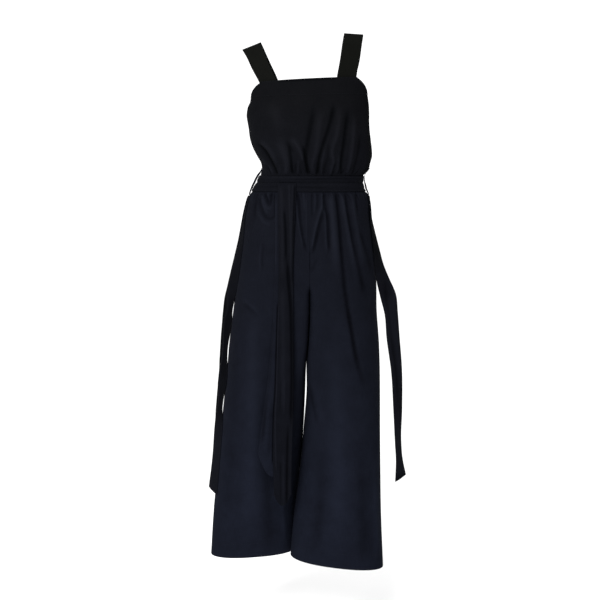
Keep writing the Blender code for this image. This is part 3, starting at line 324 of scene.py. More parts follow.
# Angle 0 is the centre front, and a quarter turn the wearer's left side.
def bodyPoint(angle, z):
    centre = smooth(bodyRows, "centreX", z)
    toLeft = smooth(bodyRows, "leftX", z) - centre
    toRight = centre - smooth(bodyRows, "rightX", z)
    half = np.where(np.sin(angle) >= 0, toLeft, toRight)
    depth = np.where(np.cos(angle) >= 0, -smooth(bodyRows, "frontY", z), smooth(bodyRows, "backY", z))
    reach = stretch(angle, garment["squareness"])
    x = centre + half * np.sin(angle) * reach
    y = -depth * np.cos(angle) * reach
    return np.stack([x, y, z + 0.0 * x], axis=-1)


rise = {
    "curvesFromZ": -0.530,  # where the rise begins to turn under the body
    "crotchZ": -0.690,
    "legsPartFromZ": -0.470,
    "legsPartToZ": -0.800,
    "sewnToZ": -0.690,  # down to here the two sides meet in one seam
    "openFade": 0.020,
    "sewnGap": -0.0004,  # their turned-in edges press into each other
    "curvePower": 1.5,  # above 1 the rise turns under gently at first
    "endPower": 6,  # above 1 only the cloth beside the rise is drawn to its edge
    "endReach": 1.1,
}


# One panel from the side seam, across 0, to the rise and then the inseam, across 1.
def trouserPoint(side, facing, across, z):
    rows = trouserRows[side]
    outer, inner = smooth(rows, "outerX", z), smooth(rows, "innerX", z)
    seam = (inner + smooth(trouserRows[-side], "innerX", z)) / 2 + side * rise["sewnGap"] / 2
    inner = mix(inner, seam, ease((z - rise["sewnToZ"]) / rise["openFade"] + 1.0))
    frontY, backY = smooth(rows, "frontY", z), smooth(rows, "backY", z)
    squareness = smooth(rows, "innerFrontSquareness" if facing == front else "innerBackSquareness", z)
    parted = ease((rise["legsPartFromZ"] - z) / (rise["legsPartFromZ"] - rise["legsPartToZ"]))
    curved = np.clip((rise["curvesFromZ"] - z) / (rise["curvesFromZ"] - rise["crotchZ"]), 0, 1)
    centreX = mix(inner, (outer + inner) / 2, parted)
    centreY = mix(0.0, (frontY + backY) / 2, parted)
    depth = centreY - frontY if facing == front else backY - centreY
    end = np.pi / 2 * (1.0 + curved ** rise["curvePower"])
    angle = end * across
    pastCentre = np.cos(angle) < 0
    reach = stretch(angle, np.where(pastCentre, squareness, garment["squareness"]))
    half = np.where(pastCentre, centreX - inner, outer - centreX)
    shortOfRise = (inner - centreX) * (1.0 + np.cos(end) * stretch(end, squareness))
    drawn = shortOfRise * np.clip(across, 0.0, rise["endReach"]) ** rise["endPower"]
    x = centreX + half * np.cos(angle) * reach + drawn
    y = centreY - facing * depth * np.sin(angle) * reach
    return np.stack([x, y, z + 0.0 * x], axis=-1)


# A smooth run through the rows, at even steps of its length.
def through(rows, count):
    rows = np.asarray(rows)
    steps = np.linalg.norm(np.diff(rows, axis=0), axis=1)
    length = np.concatenate([[0.0], np.cumsum(steps)])
    slopes = np.gradient(rows, length, axis=0)
    at = np.linspace(0.0, length[-1], count)
    i = np.clip(np.searchsorted(length, at, side="right") - 1, 0, len(length) - 2)
    span = (length[i + 1] - length[i])[:, None]
    t = (at - length[i])[:, None] / span
    return hermite(t, span, rows[i], rows[i + 1], slopes[i], slopes[i + 1])


# How far the folds raise each point of a face, by its distance from their lines.
def foldHeight(folds, across, z):
    across, z = np.broadcast_arrays(across, z)
    total = np.zeros(across.shape)
    for fold in folds:
        line = through(np.stack([fold["x"], fold["z"]], axis=-1), foldSteps * len(fold["x"]))
        room = foldReach * max(fold["widthTop"], fold["widthFoot"])
        low, high = line.min(axis=0) - room, line.max(axis=0) + room
        near = (across > low[0]) & (across < high[0]) & (z > low[1]) & (z < high[1])
        place = np.stack([across[near], z[near]], axis=-1)
        gap, passed = np.full(len(place), np.inf), np.zeros(len(place))
        length = 0.0
        for start, end in zip(line, line[1:]):
            step = end - start
            share = np.clip((place - start) @ step / (step @ step), 0.0, 1.0)
            distance = np.linalg.norm(place - start - share[:, None] * step, axis=-1)
            passed = np.where(distance < gap, length + share * np.linalg.norm(step), passed)
            gap = np.minimum(distance, gap)
            length += np.linalg.norm(step)
        width = mix(fold["widthTop"], fold["widthFoot"], passed / length)
        strength = ease(passed / fold["fadeTop"]) * ease((length - passed) / fold["fadeFoot"])
        total[near] += fold["height"] * strength * np.exp(-((gap / width) ** 2))
    return total


def gatherHeight(point):
    centreX = smooth(bodyRows, "centreX", np.array(garment["waistZ"]))
    around = np.arctan2(point[..., 0] - centreX, -point[..., 1]) * gathers["girthRadius"]
    above = point[..., 2] > garment["waistZ"]
    away = np.where(above, point[..., 2] - pressed["fromZ"], pressed["toZ"] - point[..., 2])
    away = np.clip(away, 0.0, None)
    half = int(np.pi * gathers["girthRadius"] / gathers["spacing"])
    total = np.zeros(around.shape)
    for number in range(-half, half + 1):
        swings = gathers["swings"].items()
        swing = {name: np.sin(turn * number + start) for name, (turn, start) in swings}
        middle = number * gathers["spacing"] + gathers["wander"] * swing["wander"]
        line = middle + gathers["lean"] * away * swing["lean"]
        unevenness = gathers["evenShare"] + gathers["unevenShare"] * swing["height"]
        reach = gathers["reach"] + gathers["reachMore"] * swing["reach"] ** 2
        height = gathers["height"] * unevenness * (1 if number % 2 else -1)
        fade = ease(1.0 - away / reach)
        total += height * fade * np.exp(-(((around - line) / gathers["width"]) ** 2))
    return total


def pressing(z):
    underSash = ease((pressed["fromZ"] + pressed["fade"] - z) / pressed["fade"])
    underSash *= ease((z - pressed["toZ"] + pressed["fade"]) / pressed["fade"])
    return mix(1.0, pressed["share"], underSash)


def outward(surface, u, z, step=1e-4):
    along = surface(u + step, z) - surface(u - step, z)
    up = surface(u, z + step) - surface(u, z - step)
    return unit(np.cross(along, up))


# Cloth is a grid of rows and columns of x, y, z and its crease, a painted shade from -1 in a trough to
# a painted highlight of 1 on a ridge.
def creased(points, crease):
    return np.concatenate([points, crease[..., None]], axis=-1)


def creaseOf(height, gain=1.0):
    return np.clip(height / garment["creaseScale"] * gain, -1.0, 1.0)


def foldedCloth(surface, folds, seamFade, u, z):
    point = surface(u, z)
    normal = outward(surface, u, z)
    facing = ease(abs(normal[..., 1]) / sidewaysFade)
    height = foldHeight(folds, point[..., 0], z) * facing + gatherHeight(point)
    height *= seamFade(u) * pressing(z)
    return creased(point + normal * height[..., None], creaseOf(height))


def gridNormals(points, closed=False):
    if closed:
        wide = np.concatenate([points[:, -1:], points, points[:, :1]], axis=1)
        along = (wide[:, 2:] - wide[:, :-2]) / 2
    else:
        along = np.gradient(points, axis=1)
    return unit(np.cross(along, np.gradient(points, axis=0)))


# The cloth turned so that an edge is its last column. But for the foot, a second turn undoes it.
def seenFrom(cloth, edge):
    if edge == "foot":
        cloth = cloth[::-1]
    if edge in ("top", "foot"):
        return cloth.transpose(1, 0, 2)
    return cloth[:, ::-1] if edge == "left" else cloth


# The cloth's edge turns in over a small radius and runs on as a seam allowance, with painted shade that
# deepens as it turns.
def turnedIn(cloth, edge, radius):
    allowance = garment["seamAllowance"]
    radius = np.reshape(radius, (-1, 1, 1))
    normals = seenFrom(gridNormals(cloth[..., :3]), edge)[:, -1:]
    grid = seenFrom(cloth, edge)
    last = grid[:, -1:, :3]
    towards = unit(last - grid[:, -2:-1, :3])
    crease = grid[:, -1:, 3:]
    added = []
    for degrees in (0, 30, 60, 90):
        turn = np.radians(degrees)
        place = last - towards * radius * (1 - np.sin(turn)) - normals * radius * (1 - np.cos(turn))
        # painted shade, darker as the edge turns, full on the allowance
        added.append(np.concatenate([place, crease - degrees / 90], axis=-1))
    place = last - normals * (radius + allowance)
    added.append(np.concatenate([place, crease - 1.0], axis=-1))
    return seenFrom(np.concatenate([grid[:, :-1], *added], axis=1), edge)


def addObject(name, data):
    added = bpy.data.objects.new(name, data)
    bpy.context.scene.collection.objects.link(added)
    return added


def lengthsAlong(points, axis):
    steps = np.linalg.norm(np.diff(points, axis=axis), axis=-1)
    start = np.zeros_like(np.take(steps, [0], axis=axis))
    return np.concatenate([start, np.cumsum(steps, axis=axis)], axis=axis)


def rimLoops(rows, columns, closed):
    foot = [(0, c) for c in range(columns)]
    head = [(rows - 1, c) for c in reversed(range(columns))]
    if closed:
        return [foot, head]
    rightSide = [(r, columns - 1) for r in range(1, rows - 1)]
    leftSide = [(r, 0) for r in reversed(range(1, rows - 1))]
    return [foot + rightSide + head + leftSide]


# A closed shell: the cloth's outer face, an inner one a wall behind it, and rounded rims.
def clothShell(name, cloth, wall, material, closed=False, rimSteps=3):
    points = cloth[..., :3]
    rows, columns = points.shape[:2]
    normals = gridNormals(points, closed)
    inner = points - normals * np.broadcast_to(wall, (rows, columns))[..., None]
    ids = np.arange(rows * columns).reshape(rows, columns)
    across, along = lengthsAlong(points, 1), lengthsAlong(points, 0)
    middle = columns // 2
    weave = np.stack([across - across[:, middle:middle + 1], along], axis=-1)
    vertices = [points.reshape(-1, 3), inner.reshape(-1, 3)]
    creases = [cloth[..., 3].ravel()] * 2
    faces, weaves = [], []

    def addQuads(corners, corneredWeave):
        faces.append(np.stack(corners, axis=-1).reshape(-1, 4))
        weaves.append(np.stack(corneredWeave, axis=-2).reshape(-1, 4, 2))

    nextIds, nextWeave = ids[:, 1:], weave[:, 1:]
    nowIds, nowWeave = ids[:, :-1], weave[:, :-1]
    if closed:
        lastStep = np.linalg.norm(points[:, 0] - points[:, -1], axis=-1)[:, None]
        pastEnd = np.stack([weave[:, -1:, 0] + lastStep, weave[:, -1:, 1]], axis=-1)
        nextIds = np.concatenate([ids[:, 1:], ids[:, :1]], axis=1)
        nextWeave = np.concatenate([weave[:, 1:], pastEnd], axis=1)
        nowIds, nowWeave = ids, weave
    outerIds = [nowIds[:-1], nextIds[:-1], nextIds[1:], nowIds[1:]]
    outerWeave = [nowWeave[:-1], nextWeave[:-1], nextWeave[1:], nowWeave[1:]]
    addQuads(outerIds, outerWeave)
    addQuads([grid + rows * columns for grid in outerIds[::-1]], outerWeave[::-1])

    count = 2 * rows * columns
    inward = {0: 1, rows - 1: -1}
    for loop in rimLoops(rows, columns, closed):
        r, c = np.array(loop).T
        outerRim, innerRim = points[r, c], inner[r, c]
        rowIn = np.array([inward.get(row, 0) for row in r])
        columnIn = np.where(c == 0, 1, np.where(c == columns - 1, -1, 0)) * (0 if closed else 1)
        awayRow = outerRim - points[r + rowIn, c]
        awayColumn = outerRim - points[r, np.clip(c + columnIn, 0, columns - 1)]
        away = unit(unit(awayRow) + unit(awayColumn))
        radius = np.linalg.norm(outerRim - innerRim, axis=-1, keepdims=True) / 2
        rings = [ids[r, c]]
        for step in range(1, rimSteps + 1):
            turn = np.pi * step / (rimSteps + 1)
            place = (outerRim + innerRim) / 2 + (outerRim - innerRim) / 2 * np.cos(turn)
            vertices.append(place + away * radius * np.sin(turn))
            creases.append(cloth[r, c, 3])
            rings.append(np.arange(count, count + len(loop)))
            count += len(loop)
        rings.append(ids[r, c] + rows * columns)
        rimWeave = weave[r, c]
        for ring, after in zip(rings, rings[1:]):
            corners = [np.roll(ring, -1), ring, after, np.roll(after, -1)]
            neckShadeMask = np.roll(rimWeave, -1, axis=0)
            addQuads(corners, [neckShadeMask, rimWeave, rimWeave, neckShadeMask])

    mesh = bpy.data.meshes.new(name)
    mesh.from_pydata(np.concatenate(vertices).tolist(), [], np.concatenate(faces).tolist())
    uvLayer = mesh.uv_layers.new(name="weave")
    uvLayer.data.foreach_set("uv", np.concatenate(weaves).ravel().astype(np.float32))
    creaseLayer = mesh.attributes.new("crease", "FLOAT", "POINT")
    creaseLayer.data.foreach_set("value", np.concatenate(creases).astype(np.float32))
    mesh.materials.append(material)
    mesh.shade_smooth()
    mesh.update()
    return addObject(name, mesh)


def dressed(piece, node, seams=()):
    sewn = [makeStitches(node + "Stitches", seams)] if len(seams) else []
    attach(piece, "root")
    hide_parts(node)
    polygons = piece.data.polygons
    surface = np.zeros(len(polygons))
    polygons.foreach_get("area", surface)
    print(f"{piece.name}: {2 * len(polygons)} triangles, one side {surface.sum() / 2:.4f} m2")


def newMaterial(name):
    material = bpy.data.materials.new(name)
    material.use_nodes = True
    tree = material.node_tree
    return material, tree, tree.nodes["Principled BSDF"]


def addNode(tree, kind, inputs=None, **settings):
    node = tree.nodes.new(kind)
    for setting, value in settings.items():
        setattr(node, setting, value)
    for socket, value in (inputs or {}).items():
        if isinstance(value, bpy.types.NodeSocket):
            tree.links.new(value, node.inputs[socket])
        else:
            node.inputs[socket].default_value = value
    return node


def maths(tree, operation, first, second=0.0):
    return addNode(tree, "ShaderNodeMath", {0: first, 1: second}, operation=operation).outputs[0]


def noise(tree, place, scale, detail=2.0):
    inputs = {"Vector": place, "Scale": scale, "Detail": detail}
    return addNode(tree, "ShaderNodeTexNoise", inputs).outputs[0]


def blended(tree, share, dark, light):
    if not isinstance(light, bpy.types.NodeSocket):
        light = (*light, 1)
    inputs = {0: share, 6: (*dark, 1), 7: light}
    return addNode(tree, "ShaderNodeMix", inputs, data_type="RGBA").outputs[2]


def bumped(tree, height, strength, distance, under=None):
    inputs = {"Height": height, "Strength": strength, "Distance": distance, **(under or {})}
    return addNode(tree, "ShaderNodeBump", inputs).outputs[0]


weaving = {
    "threadPitch": 0.00062,
    "threadBump": 0.35,
    "threadDepth": 0.3,  # as a share of the pitch
    "overUnder": 0.5,
    "slubScale": (900, 45),  # in a metre, across the warp and along it
    "slubBump": 0.25,
    "slubDepth": 0.0004,
    "slubTone": 0.40,
    "broadScale": 24.0,
    "broadTone": 0.35,
    "paintedCreaseShade": 0.70,
    "middleTone": 0.5,
    "finish": {
        "Roughness": 0.85, "Specular IOR Level": 0.008, "Sheen Weight": 0.002, "Sheen Roughness": 0.45,
    },
}


# Plain-woven cloth: two sets of threads in bump, slubs, random tone, painted shade in the creases and
# painted highlights on the ridges, and painted light that changes with height.
def wovenCloth(name, look):
    material, tree, shader = newMaterial(name)
    uv = addNode(tree, "ShaderNodeUVMap", uv_map="weave").outputs["UV"]
    place = addNode(tree, "ShaderNodeTexCoord").outputs["Object"]
    split = addNode(tree, "ShaderNodeSeparateXYZ", {"Vector": uv})
    pitch = weaving["threadPitch"]
    turns = [maths(tree, "MULTIPLY", split.outputs[axis], np.pi / pitch) for axis in ("X", "Y")]
    warp, weft = (maths(tree, "ABSOLUTE", maths(tree, "SINE", turn)) for turn in turns)
    over, under = (maths(tree, "SINE", maths(tree, "MULTIPLY", turn, 0.5)) for turn in turns)
    overUnder = maths(tree, "MULTIPLY", maths(tree, "MULTIPLY", over, under), weaving["overUnder"])
    threads = maths(tree, "ADD", maths(tree, "MULTIPLY", warp, weft), overUnder)

    slubs = []
    for scale in (weaving["slubScale"], weaving["slubScale"][::-1]):
        stretched = addNode(tree, "ShaderNodeMapping", {"Vector": uv, "Scale": (*scale, 1)}).outputs[0]
        slubs.append(noise(tree, stretched, 1.0))
    slub = maths(tree, "ADD", *slubs)
    broad = noise(tree, place, weaving["broadScale"], 3.0)

    # the crease attribute: painted shade in troughs and painted highlights on ridges
    crease = addNode(tree, "ShaderNodeAttribute", attribute_name="crease").outputs["Fac"]
    tone = maths(tree, "MULTIPLY", crease, weaving["paintedCreaseShade"])
    for source, middle, gain in ((broad, 0.5, weaving["broadTone"]), (slub, 1.0, weaving["slubTone"])):
        swing = maths(tree, "MULTIPLY", maths(tree, "SUBTRACT", source, middle), gain)
        tone = maths(tree, "ADD", tone, swing)
    tone = maths(tree, "ADD", tone, weaving["middleTone"])
    # painted light: the light colour changes with height, lighter and bluer lower down
    height = addNode(tree, "ShaderNodeSeparateXYZ", {"Vector": place}).outputs["Z"]
    low = addNode(tree, "ShaderNodeMapRange", {
        "Value": height, "From Min": look["paintedLightFromZ"], "From Max": look["paintedLightToZ"],
    }, clamp=True).outputs[0]
    high = blended(tree, low, look["light"], look["paintedLightBelow"])
    tree.links.new(blended(tree, tone, look["dark"], high), shader.inputs["Base Color"])

    fine = bumped(tree, threads, weaving["threadBump"], pitch * weaving["threadDepth"])
    rough = bumped(tree, slub, weaving["slubBump"], weaving["slubDepth"], {"Normal": fine})
    tree.links.new(rough, shader.inputs["Normal"])
    for socket, value in weaving["finish"].items():
        shader.inputs[socket].default_value = value
    shader.inputs["Sheen Tint"].default_value = (*look["sheenTint"], 1)
    return material


# Each look runs from its dark colour, painted shade in the creases, to its light one, painted highlight
# on the ridges. Lower down its light colour turns into its colour below: painted light, lighter and
# bluer towards the hem on the legs and lower on the bodice.
looks = {
    "bodice": {
        "dark": (0.0011, 0.0012, 0.0016), "light": (0.0039, 0.0040, 0.0047),
        "paintedLightBelow": (0.0045, 0.0048, 0.0069), "paintedLightFromZ": -0.15, "paintedLightToZ": -0.36,
        "sheenTint": (0.62, 0.68, 0.86),
    },
    "leg": {
        "dark": (0.0014, 0.0015, 0.0024), "light": (0.0051, 0.0057, 0.0086),
        "paintedLightBelow": (0.0074, 0.0090, 0.0155), "paintedLightFromZ": -0.45, "paintedLightToZ": -1.20,
        "sheenTint": (0.60, 0.68, 0.90),
    },
    "sash": {
        "dark": (0.0011, 0.0012, 0.0018), "light": (0.0041, 0.0044, 0.0062),
        "paintedLightBelow": (0.0040, 0.0044, 0.0066), "paintedLightFromZ": -0.45, "paintedLightToZ": -0.90,
        "sheenTint": (0.62, 0.68, 0.86),
    },
    "strap": {
        "dark": (0.0014, 0.0015, 0.0014), "light": (0.0046, 0.0048, 0.0040),
        "paintedLightBelow": (0.0046, 0.0048, 0.0042), "paintedLightFromZ": -0.05, "paintedLightToZ": -0.15,
        "sheenTint": (0.70, 0.72, 0.66),
    },
}
cloths = {name: wovenCloth(name + "Cloth", look) for name, look in looks.items()}
print("materials made:", ", ".join(cloths))

stitching = {
    "pitch": 0.0030,
    "length": 0.0022,
    "thickness": 0.0004,
    "unevenness": 0.15,
    "fromEdge": 0.0025,  # where a seam runs on a strip or a band
    "lift": 0.0001,  # how far its middle stands out from the cloth
    "seed": 5,
    "color": ((0.0030, 0.0033, 0.0048), (0.0085, 0.0092, 0.0130)),
    "roughness": 0.6,
    "specular": 0.05,
    "fibreScale": 700.0,
    "plies": 2600.0,
    "pliesBend": 2.0,
    "twistBump": 0.5,
    "twistDepth": 0.0001,
    "spindle": {"Segments": 5, "Rings": 3, "Radius": 1.0},
}


def threadMaterial():
    material, tree, shader = newMaterial("sewingThread")
    place = addNode(tree, "ShaderNodeTexCoord").outputs["Object"]
    color = blended(tree, noise(tree, place, stitching["fibreScale"]), *stitching["color"])
    tree.links.new(color, shader.inputs["Base Color"])
    twist = addNode(tree, "ShaderNodeTexWave", {
        "Vector": place, "Scale": stitching["plies"], "Distortion": stitching["pliesBend"],
    }, bands_direction="DIAGONAL").outputs[1]
    bump = bumped(tree, twist, stitching["twistBump"], stitching["twistDepth"])
    tree.links.new(bump, shader.inputs["Normal"])
    shader.inputs["Roughness"].default_value = stitching["roughness"]
    shader.inputs["Specular IOR Level"].default_value = stitching["specular"]
    return material


# Small spindles of thread, one after another along the edges of a mesh.
def makeStitchTree():
    tree = bpy.data.node_groups.new("rowOfStitches", "GeometryNodeTree")
    face = tree.interface
    face.new_socket("Paths", in_out="INPUT", socket_type="NodeSocketGeometry")
    sockets = {}
    for name, kind in (
        ("Pitch", "Float"), ("Length", "Float"), ("Thickness", "Float"), ("Unevenness", "Float"),
        ("Seed", "Int"), ("Thread", "Material"),
    ):
        socket = face.new_socket(name, in_out="INPUT", socket_type="NodeSocket" + kind)
        sockets[name] = socket.identifier
    face.new_socket("Stitches", in_out="OUTPUT", socket_type="NodeSocketGeometry")
    given = tree.nodes.new("NodeGroupInput").outputs
    path = addNode(tree, "GeometryNodeMeshToCurve", {"Mesh": given["Paths"]}).outputs[0]
    places = addNode(tree, "GeometryNodeResampleCurve", {
        "Curve": path, "Length": given["Pitch"],
    }, mode="LENGTH").outputs[0]
    run = addNode(tree, "GeometryNodeInputTangent").outputs[0]
    turn = addNode(tree, "FunctionNodeAlignRotationToVector", {"Vector": run}, axis="Z").outputs[0]
    half = maths(tree, "MULTIPLY", given["Thickness"], 0.5)
    halfLength = maths(tree, "MULTIPLY", given["Length"], 0.5)
    size = addNode(tree, "ShaderNodeCombineXYZ", {"X": half, "Y": half, "Z": halfLength}).outputs[0]
    least = maths(tree, "SUBTRACT", 1.0, given["Unevenness"])
    between = {2: least, 3: 1.0, 8: given["Seed"]}
    vary = addNode(tree, "FunctionNodeRandomValue", between, data_type="FLOAT").outputs[1]
    size = addNode(tree, "ShaderNodeVectorMath", {0: size, "Scale": vary}, operation="SCALE").outputs[0]
    spindle = addNode(tree, "GeometryNodeMeshUVSphere", stitching["spindle"]).outputs[0]
    rows = addNode(tree, "GeometryNodeInstanceOnPoints", {
        "Points": places, "Instance": spindle, "Rotation": turn, "Scale": size,
    }).outputs[0]
    rows = addNode(tree, "GeometryNodeRealizeInstances", {"Geometry": rows}).outputs[0]
    rows = addNode(tree, "GeometryNodeSetShadeSmooth", {"Geometry": rows}).outputs[0]
    finish = {"Geometry": rows, "Material": given["Thread"]}
    rows = addNode(tree, "GeometryNodeSetMaterial", finish).outputs[0]
    tree.links.new(rows, tree.nodes.new("NodeGroupOutput").inputs[0])
    return tree, sockets


stitchTree, stitchSockets = makeStitchTree()
thread = threadMaterial()


# A line on the cloth, a little way in from one of its edges.
def seamLine(cloth, edge, inset, columns=slice(None)):
    grid = seenFrom(cloth[..., :3], edge)[columns]
    normals = seenFrom(gridNormals(cloth[..., :3]), edge)[columns]
    lengths = lengthsAlong(grid, 1)
    fromEdge = lengths[:, -1:] - lengths
    line = []
    for points, outwards, away in zip(grid, normals, fromEdge):
        raised = points + outwards * stitching["lift"]
        line.append([np.interp(-inset, -away, raised[:, axis]) for axis in range(3)])
    return np.array(line)


def makeStitches(name, seams):
    vertices, edges = [], []
    for seam in seams:
        first = len(vertices)
        vertices.extend(seam.tolist())
        edges.extend((number, number + 1) for number in range(first, len(vertices) - 1))
    mesh = bpy.data.meshes.new(name + "Paths")
    mesh.from_pydata(vertices, edges, [])
    piece = addObject(name, mesh)
    rows = piece.modifiers.new("stitches", "NODES")
    rows.node_group = stitchTree
    for size in ("Pitch", "Length", "Thickness", "Unevenness", "Seed"):
        rows[stitchSockets[size]] = stitching[size.lower()]
    rows[stitchSockets["Thread"]] = thread
    evaluated = piece.evaluated_get(bpy.context.evaluated_depsgraph_get())
    made = bpy.data.meshes.new_from_object(evaluated)
    piece.modifiers.remove(rows)
    piece.data = made
    bpy.data.meshes.remove(mesh)
    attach(piece, "root")
    made.calc_loop_triangles()
    print(f"{name}: {len(made.loop_triangles)} triangles")
    return piece


def edgeSeams(cloth, inset, *edges):
    return [seamLine(cloth, edge, inset) for edge in edges]


bodice = {
    "shapedAboveZ": -0.262,  # above here the rows follow the top edge
    "rows": 84,
    "frontColumns": 196,
    "armholeColumns": 24,
    "backColumns": 184,
    "seamTurn": 0.01,  # half a seam's gap, in degrees
    "seamFade": 6.0,  # degrees over which folds fade into a side seam
    "topTurn": 0.0006,
    "sideShade": 1.1,  # painted shade: how much darker the front is towards the wearer's left side, and the back beside that side seam
    "shadedFrom": 58.0,
    "shadeTurn": 20.0,
    "edgeHem": 0.006,  # from the armholes and the back's neckline to their stitches
    "frontFlat": (0.480, 0.245),
    "frontArea": 0.101,
    "backFlat": (0.470, 0.240),
    "backArea": 0.100,
}
band = {
    "bottomZ": -0.1455,
    "topZ": -0.1041,
    "topSlope": 0.050,  # it stands a little higher at the wearer's left
    "stand": 0.0004,
    "columns": 96,
    "rows": 16,
    "flat": (0.285, 0.043),
    "neckline": (-0.062, 0.088),  # from strap to strap, where its rolled-over top edge gets painted shade
    "neckFade": 0.010,
    # painted shade along its top edge, over the part above shadedAbove
    "neckShade": 1.0,
    "shadedAbove": 0.80,
}

# The top edge's height by the angle round the body.
frontEdge = table("degrees z", (
    (-90, -192), (-83, -189), (-75, -181), (-69.5, -168), (-66.5, -149.3),
    (0, band["bottomZ"] * 1000), (67, -141), (72, -158), (80, -181), (90, -195),
), "degrees")
backEdge = table("degrees z", (
    (90, -195), (98, -176), (110, -158), (125, -150),
    (235, -150), (250, -154), (262, -169), (270, -192),
), "degrees")
# The band's two ends at the armholes, in degrees, from its foot, 0, to the neckline, 1.
bandEnds = table("up right left", (
    (0.00, -66.5, 67.0), (0.25, -65.5, 65.1), (0.50, -61.8, 60.8), (0.75, -55.5, 54.7),
    (1.00, -47.0, 47.0),
), "up right left")


def bodiceHeights(edge, degrees):
    top = np.interp(degrees, edge["degrees"], edge["z"])
    foot = garment["waistZ"] + garment["seamGap"] / 2
    rows = np.linspace(foot, band["bottomZ"], bodice["rows"] + 1)[:, None]
    share = (rows - bodice["shapedAboveZ"]) / (band["bottomZ"] - bodice["shapedAboveZ"])
    return np.where(share > 0, mix(bodice["shapedAboveZ"], top[None, :], share), rows)


def bodiceCloth(edge, folds, degrees, middle):
    z = bodiceHeights(edge, degrees)
    angle = np.radians(degrees)[None, :] + 0.0 * z

    def seamFade(turn):
        return ease((90 - abs(np.degrees(turn) - middle)) / bodice["seamFade"])

    return foldedCloth(bodyPoint, folds, seamFade, angle, z)


def makeBodice():
    turn = bodice["seamTurn"]
    corners = bandEnds["right"][0], bandEnds["left"][0]
    degrees = np.concatenate([
        np.linspace(-90 + turn, corners[0], bodice["armholeColumns"])[:-1],
        np.linspace(*corners, bodice["frontColumns"])[:-1],
        np.linspace(corners[1], 90 - turn, bodice["armholeColumns"]),
    ])
    frontCloth = bodiceCloth(frontEdge, bodiceFrontFolds, degrees, 0)
    # painted shade on the front towards the wearer's left side
    pastLight = (degrees - bodice["shadedFrom"]) / bodice["shadeTurn"]
    frontCloth[..., 3] -= bodice["sideShade"] * ease(pastLight)
    degrees = np.linspace(90 + turn, 270 - turn, bodice["backColumns"])
    backCloth = bodiceCloth(backEdge, bodiceBackFolds, degrees, 180)
    # the same painted shade on the back beside that side seam
    pastShade = (180.0 - bodice["shadedFrom"] - degrees) / bodice["shadeTurn"]
    backCloth[..., 3] -= bodice["sideShade"] * ease(pastShade)
    armhole, hem = bodice["armholeColumns"], bodice["edgeHem"]
    armholes = slice(armhole), slice(-armhole, None)
    frontSeams = [seamLine(frontCloth, "top", hem, part) for part in armholes]
    backSeams = edgeSeams(backCloth, hem, "top")
    for name, cloth, flat, area, seams in (
        ("bodice_front", frontCloth, bodice["frontFlat"], bodice["frontArea"], frontSeams),
        ("bodice_back", backCloth, bodice["backFlat"], bodice["backArea"], backSeams),
    ):
        for edge in ("left", "right"):
            cloth = turnedIn(cloth, edge, garment["turnRadius"])
        cloth = turnedIn(cloth, "top", bodice["topTurn"])
        piece = clothShell(name + "Cloth", cloth, garment["wall"], cloths["bodice"], rimSteps=1)
        dressed(piece, name, seams)


def makeBand():
    up = np.linspace(0.0, 1.0, band["rows"] + 1)[:, None]
    ends = [np.interp(up, bandEnds["up"], bandEnds[side]) for side in ("right", "left")]
    degrees = mix(*ends, np.linspace(0.0, 1.0, band["columns"] + 1)[None, :])
    angle = np.radians(degrees)
    x = bodyPoint(angle, mix(band["bottomZ"], band["topZ"], up) + 0.0 * angle)[..., 0]
    foot = np.interp(degrees, frontEdge["degrees"], frontEdge["z"]) + garment["seamGap"]
    z = mix(foot, band["topZ"] + band["topSlope"] * x, up)
    point = bodyPoint(angle, z) + outward(bodyPoint, angle, z) * band["stand"]
    # painted shade along the top edge, between the straps
    fromRight = ease((x - band["neckline"][0]) / band["neckFade"])
    fromLeft = ease((band["neckline"][1] - x) / band["neckFade"])
    neckShadeMask = ease((up - band["shadedAbove"]) / (1 - band["shadedAbove"]))
    cloth = creased(point, -band["neckShade"] * neckShadeMask * (fromRight * fromLeft))
    piece = clothShell("front_bandCloth", cloth, garment["doubleWall"], cloths["bodice"])
    seams = edgeSeams(cloth, stitching["fromEdge"], "top", "foot", "left", "right")
    dressed(piece, "front_band", seams=seams)


makeBodice()
makeBand()
print("bodice made")

trousers = {
    "shapedBelowZ": -1.110,  # below here the rows follow the hem
    "frontColumns": 150,
    "backColumns": 124,
    "gatheredRows": 54,  # down to the end of the gathers
    "gatheredToZ": -0.530,
    "rows": 128,  # from there to the hem
    "seamShare": 0.00008,  # half a seam's gap, as a share of a panel's width
    "seamFade": 0.035,
    "hemDepth": 0.040,
    "hemSeam": 0.038,  # from the foot to the hem's stitches
    "hemWall": 0.0009,  # how much the turned-up hem adds to the wall
    "frontFlat": (0.370, 1.020),
    "backFlat": (0.390, 1.020),
    "frontArea": 0.300,
    "backArea": 0.310,
}
hems = {right: {"outerZ": -1.356, "innerZ": -1.338}, left: {"outerZ": -1.366, "innerZ": -1.336}}
# The radius that the cloth turns in over at the rise and the inseam.
riseTurns = table("z radius", ((-740, 0.5), (-660, 1), (-560, 1), (-500, 0.4)))


